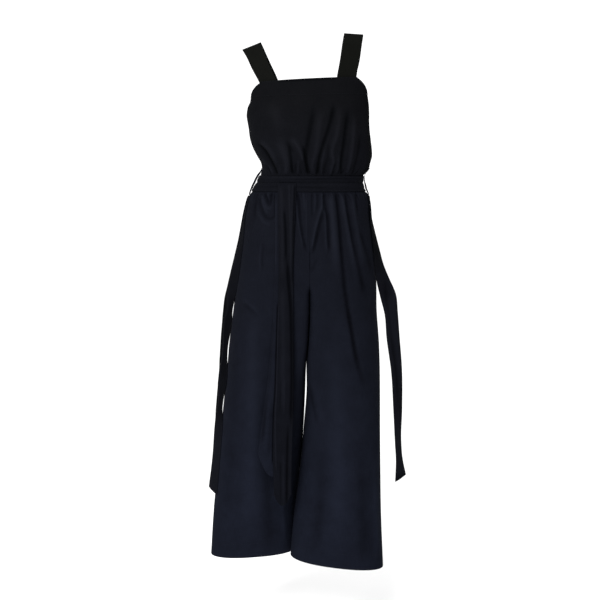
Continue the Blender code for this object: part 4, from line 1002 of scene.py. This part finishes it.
def trouserCloth(side, facing, columns):
    hem = hems[side]
    gap = trousers["seamShare"]
    u = np.linspace(gap, 1.0 - gap, columns + 1)[None, :]
    fromSide = (side == right) == (facing == front)

    def surface(u, z):
        return trouserPoint(side, facing, u if fromSide else 1.0 - u, z)

    bottom = hem["outerZ"] + 0.0 * u
    sections = trouserRows[side]
    outer, inner = (smooth(sections, column, hem["outerZ"]) for column in ("outerX", "innerX"))
    inwards = np.clip((surface(u, bottom)[..., 0] - outer) / (inner - outer), 0.0, 1.0)
    bottom = mix(hem["outerZ"], hem["innerZ"], inwards)
    waist = garment["waistZ"] - garment["seamGap"] / 2
    rows = np.concatenate([
        np.linspace(hem["outerZ"], trousers["gatheredToZ"], trousers["rows"], endpoint=False),
        np.linspace(trousers["gatheredToZ"], waist, trousers["gatheredRows"]),
    ])[:, None]
    share = (trousers["shapedBelowZ"] - rows) / (trousers["shapedBelowZ"] - hem["outerZ"])
    z = np.where(share > 0, mix(trousers["shapedBelowZ"], bottom, share), rows)
    folds = trouserFrontFolds if facing == front else trouserBackFolds

    def seamFade(u):
        return ease(u / trousers["seamFade"]) * ease((1.0 - u) / trousers["seamFade"])

    return foldedCloth(surface, folds, seamFade, u + 0.0 * z, z)


def makeTrousers(side, facing):
    facingName = facingNames[facing]
    node = f"trouser_{facingName}_{sideNames[side]}"
    cloth = trouserCloth(side, facing, trousers[facingName + "Columns"])
    outer, inner = ("left", "right") if (side == right) == (facing == front) else ("right", "left")
    riseTurn = np.interp(cloth[:, 0, 2], *riseTurns.values())
    shaped = turnedIn(turnedIn(cloth, outer, garment["turnRadius"]), inner, riseTurn)
    fromHem = lengthsAlong(shaped[..., :3], 0)
    wall = garment["wall"] + trousers["hemWall"] * (fromHem < trousers["hemDepth"])
    piece = clothShell(node + "Cloth", shaped, wall, cloths["leg"])
    seams = edgeSeams(cloth, trousers["hemSeam"], "foot")
    dressed(piece, node, seams)


for side in sideNames:
    for facing in facingNames:
        makeTrousers(side, facing)
print("trousers made")

# Every strip of cloth: the sash, the loops, the ties and the straps.
strips = {
    "columnStep": 0.0018,
    "edgeSteps": (0.0, 0.0007, 0.0014, 0.0022, 0.0032, 0.0046),  # columns near each edge
    "edgeShare": 0.35,  # of a narrow strip's width, past which there are none of these
    "creaseGain": 2.0,  # their folds are lower than the garment's, so their painted shade is strengthened
}
sash = {
    "turnColumns": 220,
    "turnRows": 14,
    "endRows": 240,
    "turnCreaseGain": 2.5,  # its ripples are lower than the garment's folds, so their painted shade is strengthened
    "rippleWidth": 0.10,  # as a share of a turn's width
    "rippleEven": 0.6,
    "rippleUneven": 0.4,  # its depth swings by this share
    "rippleSwings": 3,  # so many times on the way round
    "bow": 0.0014,
    "tip": 0.028,  # how far a point reaches below its corners
    "profileSteps": 80,
    "heightSteps": 20,
    "upperFlat": (0.760, 0.020),
    "lowerFlat": (0.780, 0.024),
    "longFlat": (0.049, 0.850),
    "shortFlat": (0.049, 0.740),
}
# How far each turn's outer face stands out from the garment, by height.
upperTurn = table("z stand", ((-363.2, 2.6), (-359, 4.4), (-351.5, 4.6), (-345.5, 2.6)))
lowerTurn = table("z stand", ((-386, 2.7), (-381.5, 3.7), (-370, 3.9), (-363.8, 2.6)))
longEnd = table("rightX rightZ leftX leftZ stand", (
    (-64, -364, -18, -364, 6.2),
    (-63.8, -375, -18.2, -375, 6.6),
    (-63.5, -390, -18.6, -390, 7),
    (-62.8, -420, -20, -420, 6.6),
    (-61.4, -505, -23.8, -505, 6),
    (-61.4, -590, -25.6, -590, 6),
    (-63.8, -686, -25.6, -686, 6.2),
    (-67.2, -808, -24.6, -808, 6.2),
    (-69.8, -885, -24.5, -885, 6.4),
    (-73.2, -940, -25.8, -940, 6.6),
    (-75.7, -1014, -28.4, -1014, 6.6),
    (-76.2, -1079, -30, -1079, 6.4),
    (-73.8, -1160, -30.8, -1156, 6.2),
))
shortEnd = table("rightX rightZ leftX leftZ stand", (
    (-70.5, -387.6, -23, -387.6, 3.6),
    (-70.5, -400, -23.2, -400, 4.2),
    (-70.4, -420, -23.5, -420, 3.8),
    (-70.6, -505, -24.5, -505, 2.7),
    (-72, -600, -25.5, -600, 2.7),
    (-75.5, -686, -28, -686, 2.6),
    (-82, -780, -34, -780, 2.4),
    (-90, -868, -41, -868, 2),
    (-105, -971, -54, -971, 1.4),
    (-115, -1056, -64, -1102, 1),
))


# A strip between two edges. Its outer face looks along (second edge - first) x (its run).
def ribbonCloth(edges, rows, bow=0.0, tip=0.0, folds=(), face=0):
    stations = through(edges, rows)
    first, second = stations[:, None, :3], stations[:, None, 3:]
    width = np.linalg.norm(second - first, axis=-1).mean()
    near = np.array(strips["edgeSteps"]) / width
    near = near[near < strips["edgeShare"]]
    middle = np.linspace(near[-1], 1 - near[-1], max(int(width / strips["columnStep"]), 3))[1:-1]
    share = np.concatenate([near, middle, 1 - near[::-1]])[None, :, None]
    grid = mix(first, second, share)
    arch = 4 * share * (1 - share)
    grid[-1, :, 2] -= tip * arch[0, :, 0]
    height = foldHeight(folds, grid[..., face], grid[..., 2])
    grid = grid + gridNormals(grid) * (bow * arch + height[..., None])
    return creased(grid, creaseOf(height, strips["creaseGain"]))


# The garment's front at a place, and the foremost that it comes from the waist down to there.
def frontY(x, z):
    across = np.linspace(0.0, 1.0, sash["profileSteps"])
    profile = np.concatenate([
        trouserPoint(right, front, across, z), trouserPoint(left, front, across[::-1], z),
    ])
    return np.interp(x, profile[:, 0], profile[:, 1])


def hangingY(x, z):
    return min(frontY(x, height) for height in np.linspace(garment["waistZ"], z, sash["heightSteps"]))


longEndFolds = foldsOf(
    (1.6, 3.0, 2.6, 6, 60, (-35, -366), (-32, -470), (-30, -540), (-32, -600)),
    (-1.8, 2.0, 2.0, 6, 60, (-20, -366), (-24, -470), (-25.5, -560), (-27, -640)),
    (1.2, 2.2, 2.0, 6, 60, (-26, -366), (-28, -470), (-28.5, -520)),
    (-2.2, 3.0, 3.4, 30, 40, (-48, -420), (-44, -492), (-43, -570)),
    (1.2, 5.0, 5.0, 20, 60, (-56, -366), (-52, -480), (-52, -620)),
    (-3.0, 3.5, 5.0, 60, 60, (-41, -540), (-36, -618), (-31, -672), (-29, -732), (-28, -890),
     (-31, -990)),
    (1.2, 7.0, 6.0, 60, 80, (-53, -600), (-50, -760), (-54, -960)),
    (-1.0, 2.2, 2.2, 20, 30, (-56, -850), (-59, -950)),
    (1.0, 2.4, 2.4, 20, 30, (-46, -850), (-49, -960)),
    (2.2, 1.5, 1.9, 30, 40, (-61.5, -670), (-65, -800), (-67.5, -900), (-70.5, -960), (-70, -1030),
     (-68, -1110)),
    (-2.0, 3.0, 3.0, 60, 10, (-38, -960), (-41, -1080), (-42, -1185)),
    (-0.9, 2.0, 2.0, 30, 10, (-58, -1060), (-57, -1180)),
    (1.0, 3.0, 3.0, 40, 10, (-50, -1040), (-50, -1190)),
)
shortEndFolds = foldsOf(
    (-2.2, 1.6, 2.0, 20, 20, (-64, -660), (-66, -720), (-69, -820), (-71, -885), (-74.5, -940),
     (-77, -1014), (-77.5, -1085)),
    (1.2, 2.4, 2.4, 20, 60, (-68, -400), (-68, -500), (-69, -600)),
    (-0.5, 3.0, 5.0, 60, 60, (-74, -680), (-83, -820), (-92, -960)),
    (0.4, 5.0, 6.0, 60, 60, (-82, -840), (-93, -960), (-98, -1060)),
    (-1.0, 6.0, 6.0, 40, 30, (-92, -880), (-98, -960), (-104, -1030)),
    (-0.6, 6.0, 5.0, 50, 30, (-76, -900), (-84, -1000), (-88, -1070)),
)


def makeSashTurn(node, rings, ripples):
    z = np.linspace(rings["z"][0], rings["z"][-1], sash["turnRows"] + 1)[:, None]
    angle = np.linspace(0.0, 2 * np.pi, sash["turnColumns"], endpoint=False)[None, :]
    rowsDown = {name: column[::-1] for name, column in rings.items()}
    stand = smooth(rowsDown, "stand", z) + 0.0 * angle
    height = np.zeros(stand.shape)
    up = (z - z[0]) / (z[-1] - z[0])
    for waves, phase, level, sway, depth in ripples:
        line = level + sway * np.sin(waves * angle + phase)
        swing = np.sin(sash["rippleSwings"] * angle + phase)
        swing = sash["rippleEven"] + sash["rippleUneven"] * swing
        height += depth * np.exp(-(((up - line) / sash["rippleWidth"]) ** 2)) * swing
    stand = stand + height
    angle, z = angle + 0.0 * z, z + 0.0 * angle
    point = bodyPoint(angle, z) + outward(bodyPoint, angle, z) * stand[..., None]
    cloth = creased(point, creaseOf(height, sash["turnCreaseGain"]))
    piece = clothShell(node + "Cloth", cloth, garment["sashWall"], cloths["sash"], closed=True)
    around = edgeSeams(cloth, stitching["fromEdge"], "top", "foot")
    seams = [np.concatenate([line, line[:1]]) for line in around]
    dressed(piece, node, seams=seams)


def makeSashEnd(node, places, folds, look):
    edges = []
    for rightX, rightZ, leftX, leftZ, stand in stationsOf(places):
        leftEdge = (leftX, hangingY(leftX, leftZ) - stand, leftZ)
        rightEdge = (rightX, hangingY(rightX, rightZ) - stand, rightZ)
        edges.append((*leftEdge, *rightEdge))
    cloth = ribbonCloth(edges, sash["endRows"], sash["bow"], sash["tip"], folds)
    piece = clothShell(node + "Cloth", cloth, garment["sashWall"], cloths[look])
    seams = edgeSeams(cloth, stitching["fromEdge"], "left", "right", "top")
    dressed(piece, node, seams=seams)


# Ripples: waves round a turn, where they begin, height across it, how far that sways, and depth.
upperRipples = ((2, 0.5, 0.55, 0.12, -0.0009), (3, 2.0, 0.80, 0.08, 0.0005))
lowerRipples = ((2, 2.5, 0.40, 0.15, -0.0008), (3, 0.3, 0.70, 0.10, 0.0005))
makeSashTurn("belt_wrap_upper", upperTurn, upperRipples)
makeSashTurn("belt_wrap_lower", lowerTurn, lowerRipples)
makeSashEnd("belt_fall_long", longEnd, longEndFolds, "sash")
makeSashEnd("belt_fall_short", shortEnd, shortEndFolds, "leg")
print("sash made")

loops = {
    "width": 0.009,
    "rows": 60,
    "seamInset": 0.0015,
    "flat": (0.010, 0.078),
}
# How far the front and back edges stand out from the side.
loopStations = {
    right: table("z frontStand backStand", (
        (-327, 1.8, 2), (-333, 2, 4.2), (-340, 3.4, 8.4),
        (-346.3, 5.6, 10.6), (-354, 7.2, 12.2), (-361.7, 7.4, 12.4),
        (-369.5, 7.6, 12.4), (-377.2, 6.2, 10.4), (-385, 5, 8),
        (-391.5, 3, 5.6), (-396, 1.8, 3),
    )),
    left: table("z frontStand backStand", (
        (-327, 1.8, 2), (-333, 1.8, 2), (-340, 2.4, 2.8),
        (-346.3, 4.7, 5.1), (-354, 6.5, 7.5), (-361.7, 6.5, 9),
        (-369.5, 7, 10.6), (-377.2, 7, 10.8), (-385, 5.4, 8.6),
        (-391.5, 3, 5.2), (-396, 1.8, 3),
    )),
}
ties = {
    "width": 0.050,
    "rows": 240,
    "bow": 0.0022,
    "endSlant": 0.010,
    "profileReach": 0.45,  # across each panel from the side seam
    "profileSteps": 60,
    "flat": (0.050, 0.800),
}
# The same for the ties, with the middle of their width, and how much of it they are gathered to.
tieStations = {
    right: table("z frontStand backStand middleY widthShare", (
        (-397.5, 1.8, 5.8, -8, 0.60),
        (-420, 1.8, 5, -6, 0.70),
        (-440, 1.8, 5.2, -6, 0.82),
        (-500, 1.8, 10.8, -8, 1.00),
        (-564, 1.8, 18, -10, 1.00),
        (-635, 1.8, 26.2, -10, 1.00),
        (-665, 2.4, 28.4, -4, 1.00),
        (-695, 3.6, 28.4, 4, 1.00),
        (-718, 2.4, 27.4, -3, 1.00),
        (-750, 2.6, 26, -2, 1.00),
        (-785, 4, 24.8, 6, 1.00),
        (-815, 3.8, 24, 6, 1.00),
        (-848, 2, 23, -4, 1.00),
        (-881, 1.8, 22.4, -8, 1.00),
        (-914, 3, 21.6, 4, 1.00),
        (-950, 4, 21, 10, 1.00),
        (-990, 1.8, 20.6, 2, 1.00),
        (-1093.5, 1.8, 19.5, 6, 1.00),
        (-1186, 1.8, 19, 10, 1.00),
    ), "widthShare"),
    left: table("z frontStand backStand middleY widthShare", (
        (-397.5, 3.4, 4, -16, 0.60),
        (-424, 3.6, 3.8, -16, 0.70),
        (-455, 3.8, 4.6, -16, 0.85),
        (-502, 3.8, 9, -16, 1.00),
        (-537, 3.8, 15.8, -16, 1.00),
        (-574, 3.4, 22.5, -14, 1.00),
        (-609, 2.6, 33, -11, 0.98),
        (-658, 10.5, 52, -4, 0.98),
        (-705, 21.2, 56.5, -1, 1.00),
        (-763, 21.5, 56.5, -3, 1.00),
        (-854, 30.5, 60.5, -6, 1.00),
        (-957, 36, 61.2, -10, 1.00),
        (-1044.5, 40, 59, -14, 1.00),
        (-1086, 42, 61.5, -16, 1.00),
        (-1145, 39.5, 70.5, -18, 1.00),
    ), "widthShare"),
}
# Painted shade, below 0, and painted light, above 0, on their cloth, by height.
tieShades = {
    right: table("z shade", (
        (-1100, 0.2), (-1050, 0.1), (-1000, -0.2), (-955, -1.0), (-920, -0.7), (-880, -0.5),
        (-840, -1.0), (-700, -1.0), (-650, -0.3), (-500, -0.2),
    ), "shade"),
    left: table("z shade", (
        (-1180, -0.8), (-1145, -0.6), (-1120, 0.7), (-1000, 0.6), (-960, 0.2), (-850, 0.4),
        (-780, 0.6), (-730, 1.0), (-690, 0.9), (-650, 0.1), (-600, 0.2), (-560, -0.3),
        (-525, -1.0), (-420, -0.8),
    ), "shade"),
}
# Their folds run through points that are y and z.
tieFolds = {
    right: foldsOf(
        (-2.0, 2.4, 3.6, 6, 60, (-6, -398), (-5, -470), (-3, -560)),
        (1.4, 2.2, 3.4, 6, 50, (2, -398), (6, -470), (9, -540)),
        (-1.4, 4, 5, 80, 60, (8, -560), (14, -760), (17, -900)),
        (1.6, 4, 5, 60, 60, (-3, -620), (2, -820), (8, -980)),
        (-1.2, 4, 4, 60, 40, (22, -880), (28, -1080), (30, -1170)),
    ),
    left: foldsOf(
        (-2.0, 2.4, 3.6, 6, 60, (-3, -398), (0, -470), (3, -560)),
        (1.4, 2.2, 3.4, 6, 50, (4, -398), (8, -470), (10, -540)),
        (1.6, 4, 5, 80, 60, (8, -560), (6, -760), (2, -900)),
        (-1.6, 4, 5, 60, 60, (-8, -600), (-9, -780), (-14, -960)),
        (-1.2, 4, 4, 60, 40, (2, -880), (-10, -1060), (-14, -1140)),
    ),
}


def sideX(side, z, y):
    across = np.linspace(0.0, ties["profileReach"], ties["profileSteps"])
    profile = np.concatenate([
        trouserPoint(side, front, across[::-1], z), trouserPoint(side, back, across, z),
    ])
    return np.interp(y, profile[:, 1], profile[:, 0])


def sideStrip(side, frontEdge, backEdge):
    return (*frontEdge, *backEdge) if side == right else (*backEdge, *frontEdge)


def makeBeltLoop(node, side):
    edges = []
    for z, frontStand, backStand in stationsOf(loopStations[side]):
        halfDepth = np.sqrt(loops["width"] ** 2 - (backStand - frontStand) ** 2) / 2
        x = bodyPoint(side * np.pi / 2, np.array(z))[0]
        near = (x + side * frontStand, -halfDepth, z)
        far = (x + side * backStand, halfDepth, z)
        edges.append(sideStrip(side, near, far))
    cloth = ribbonCloth(edges, loops["rows"])
    piece = clothShell(node + "Cloth", cloth, garment["wall"], cloths["leg"])
    seams = edgeSeams(cloth, loops["seamInset"], "left", "right")
    dressed(piece, node, seams=seams)


def makeTie(node, side):
    edges = []
    lowest = tieStations[side]["z"][-1]
    for z, frontStand, backStand, middleY, widthShare in stationsOf(tieStations[side]):
        halfDepth = np.sqrt(ties["width"] ** 2 - (backStand - frontStand) ** 2) / 2 * widthShare
        slant = ties["endSlant"] if z == lowest else 0.0
        nearY, farY = middleY - halfDepth, middleY + halfDepth
        nearX = sideX(side, z, nearY) + side * frontStand
        farX = sideX(side, z, middleY) + side * backStand
        edges.append(sideStrip(side, (nearX, nearY, z), (farX, farY, z + slant)))
    cloth = ribbonCloth(edges, ties["rows"], ties["bow"], folds=tieFolds[side], face=1)
    # painted shade and painted light on the ties, by height
    cloth[..., 3] += np.interp(cloth[..., 2], *tieShades[side].values())
    piece = clothShell(node + "Cloth", cloth, garment["sashWall"], cloths["sash"])
    seams = edgeSeams(cloth, stitching["fromEdge"], "left", "right", "top")
    dressed(piece, node, seams=seams)


for side, sideName in sideNames.items():
    makeBeltLoop("belt_loop_" + sideName, side)
for side, sideName in sideNames.items():
    makeTie("tie_" + sideName, side)
print("loops and ties made")

straps = {
    "rows": 150,
    "behindBand": -0.0032,  # clear of the band's double cloth
    "behindBack": -0.0026,  # clear of the back's single cloth
    "profileSteps": 181,
    "rightFlat": (0.047, 0.360),
    "leftFlat": (0.048, 0.360),
}
# Where each strap's two edges are sewn in front and at the back, and where they lie between.
sewnColumns = "rightX rightZ leftX leftZ"
sewnFront = {
    right: table(sewnColumns, ((-100.5, -137, -59, -133), (-111, -113, -68.5, -108))),
    left: table(sewnColumns, ((81, -127, 129, -127), (85.6, -101, 133.2, -100))),
}
sewnBack = {
    right: table(sewnColumns, ((-97.5, -150, -50.5, -150), (-93, -172, -46, -172))),
    left: table(sewnColumns, ((85, -150, 131, -150), (81, -172, 127, -172))),
}
strapStations = {
    right: table("rightX rightY rightZ leftX leftY leftZ", (
        (-129.5, -43, -75, -89, -60, -62.5),
        (-143, -27, -45.5, -101.8, -35, -29),
        (-153.3, -10, -27.5, -108.6, -12, -8.5),
        (-155.3, 8, -23.5, -109.1, 8, -5.5),
        (-149, 28, -33, -105.2, 29, -13),
        (-133, 52, -63, -90, 59, -46),
        (-112, 70, -106, -66, 79, -98),
    )),
    left: table("rightX rightY rightZ leftX leftY leftZ", (
        (93.5, -62, -56, 141.8, -43, -59),
        (100, -36, -13, 148, -27, -18),
        (105, -12, 14.5, 152.5, -10, 11),
        (106, 8, 17.6, 153, 8, 14.5),
        (106, 29, 12, 152, 28, 8),
        (101.5, 59, -24, 147, 51, -30),
        (94, 77, -80, 140, 65, -83),
    )),
}


def insideBodice(x, z, facing, stand):
    middle = 0.0 if facing == front else np.pi
    span = np.linspace(-np.pi / 2, np.pi / 2, straps["profileSteps"]) + middle
    points = bodyPoint(span, np.full(span.shape, z))
    order = np.argsort(points[:, 0])
    angle = np.array([np.interp(x, points[order, 0], span[order])])
    height = np.array([z])
    return (bodyPoint(angle, height) + outward(bodyPoint, angle, height) * stand)[0]


def sewnEdges(sewn, facing, stand):
    edges = []
    for rightX, rightZ, leftX, leftZ in stationsOf(sewn):
        rightEdge = insideBodice(rightX, rightZ, facing, stand)
        leftEdge = insideBodice(leftX, leftZ, facing, stand)
        edges.append((*rightEdge, *leftEdge))
    return edges


def makeStrap(side, sideName):
    inFront = sewnEdges(sewnFront[side], front, straps["behindBand"])
    behind = sewnEdges(sewnBack[side], back, straps["behindBack"])
    cloth = ribbonCloth([*inFront, *stationsOf(strapStations[side]), *behind], straps["rows"])
    node = "strap_" + sideName
    piece = clothShell(node + "Cloth", cloth, garment["doubleWall"], cloths["strap"])
    seams = edgeSeams(cloth, stitching["fromEdge"], "left", "right")
    dressed(piece, node, seams=seams)


for side, sideName in sideNames.items():
    makeStrap(side, sideName)
print("straps made")

studio = {
    "cameraPlace": (-0.008, -3.2, -0.32988),
    "cameraDown": 6.05,  # degrees below the horizon
    "lens": 73.8,
    "worldLight": 1.25,
    "worldShade": 0.50,  # how bright the world is on the garment's left side
    "shadeFrom": 0.35,  # how far to that side the world begins to darken
    "shadeTo": 0.95,
    "floorZ": -1.56,
    "floorSize": 40.0,
    "floorColor": ((0.93, 0.93, 0.93), (0.97, 0.97, 0.97)),
    "floorScale": 1.5,
    "floorRoughness": 0.9,
    "keyPlace": (-1.25, -3.3, 1.55),
    "keySize": 2.0,
    "keyPower": 235.0,
    "target": (0.0, 0.0, -0.55),
}


def makeStudio():
    camera = addObject("camera", bpy.data.cameras.new("camera"))
    camera.data.sensor_width = 36
    camera.data.lens = studio["lens"]
    camera.location = studio["cameraPlace"]
    camera.rotation_euler = (np.radians(90 - studio["cameraDown"]), 0, 0)
    bpy.context.scene.camera = camera

    world = bpy.data.worlds.new("studio")
    world.use_nodes = True
    background = world.node_tree.nodes["Background"]
    background.inputs["Color"].default_value = (1, 1, 1, 1)
    towards = addNode(world.node_tree, "ShaderNodeTexCoord").outputs["Generated"]
    toLeft = addNode(world.node_tree, "ShaderNodeSeparateXYZ", {"Vector": towards}).outputs["X"]
    light = addNode(world.node_tree, "ShaderNodeMapRange", {
        "Value": toLeft, "From Min": studio["shadeFrom"], "From Max": studio["shadeTo"],
        "To Min": studio["worldLight"], "To Max": studio["worldShade"],
    }, clamp=True).outputs[0]
    world.node_tree.links.new(light, background.inputs["Strength"])
    bpy.context.scene.world = world
    bpy.context.scene.view_settings.view_transform = "Standard"

    lamp = bpy.data.lights.new("keyLight", "AREA")
    lamp.energy = studio["keyPower"]
    lamp.size = studio["keySize"]
    key = addObject("keyLight", lamp)
    key.location = studio["keyPlace"]
    aim = Vector(studio["target"]) - key.location
    key.rotation_euler = aim.to_track_quat("-Z", "Y").to_euler()

    half, z = studio["floorSize"] / 2, studio["floorZ"]
    corners = [(-half, -half, z), (half, -half, z), (half, half, z), (-half, half, z)]
    mesh = bpy.data.meshes.new("floor")
    mesh.from_pydata(corners, [], [(0, 1, 2, 3)])
    material, tree, shader = newMaterial("paleFloor")
    place = addNode(tree, "ShaderNodeTexCoord").outputs["Object"]
    paper = blended(tree, noise(tree, place, studio["floorScale"]), *studio["floorColor"])
    tree.links.new(paper, shader.inputs["Base Color"])
    shader.inputs["Roughness"].default_value = studio["floorRoughness"]
    mesh.materials.append(material)
    addObject("floor", mesh)


makeStudio()
print("studio made")
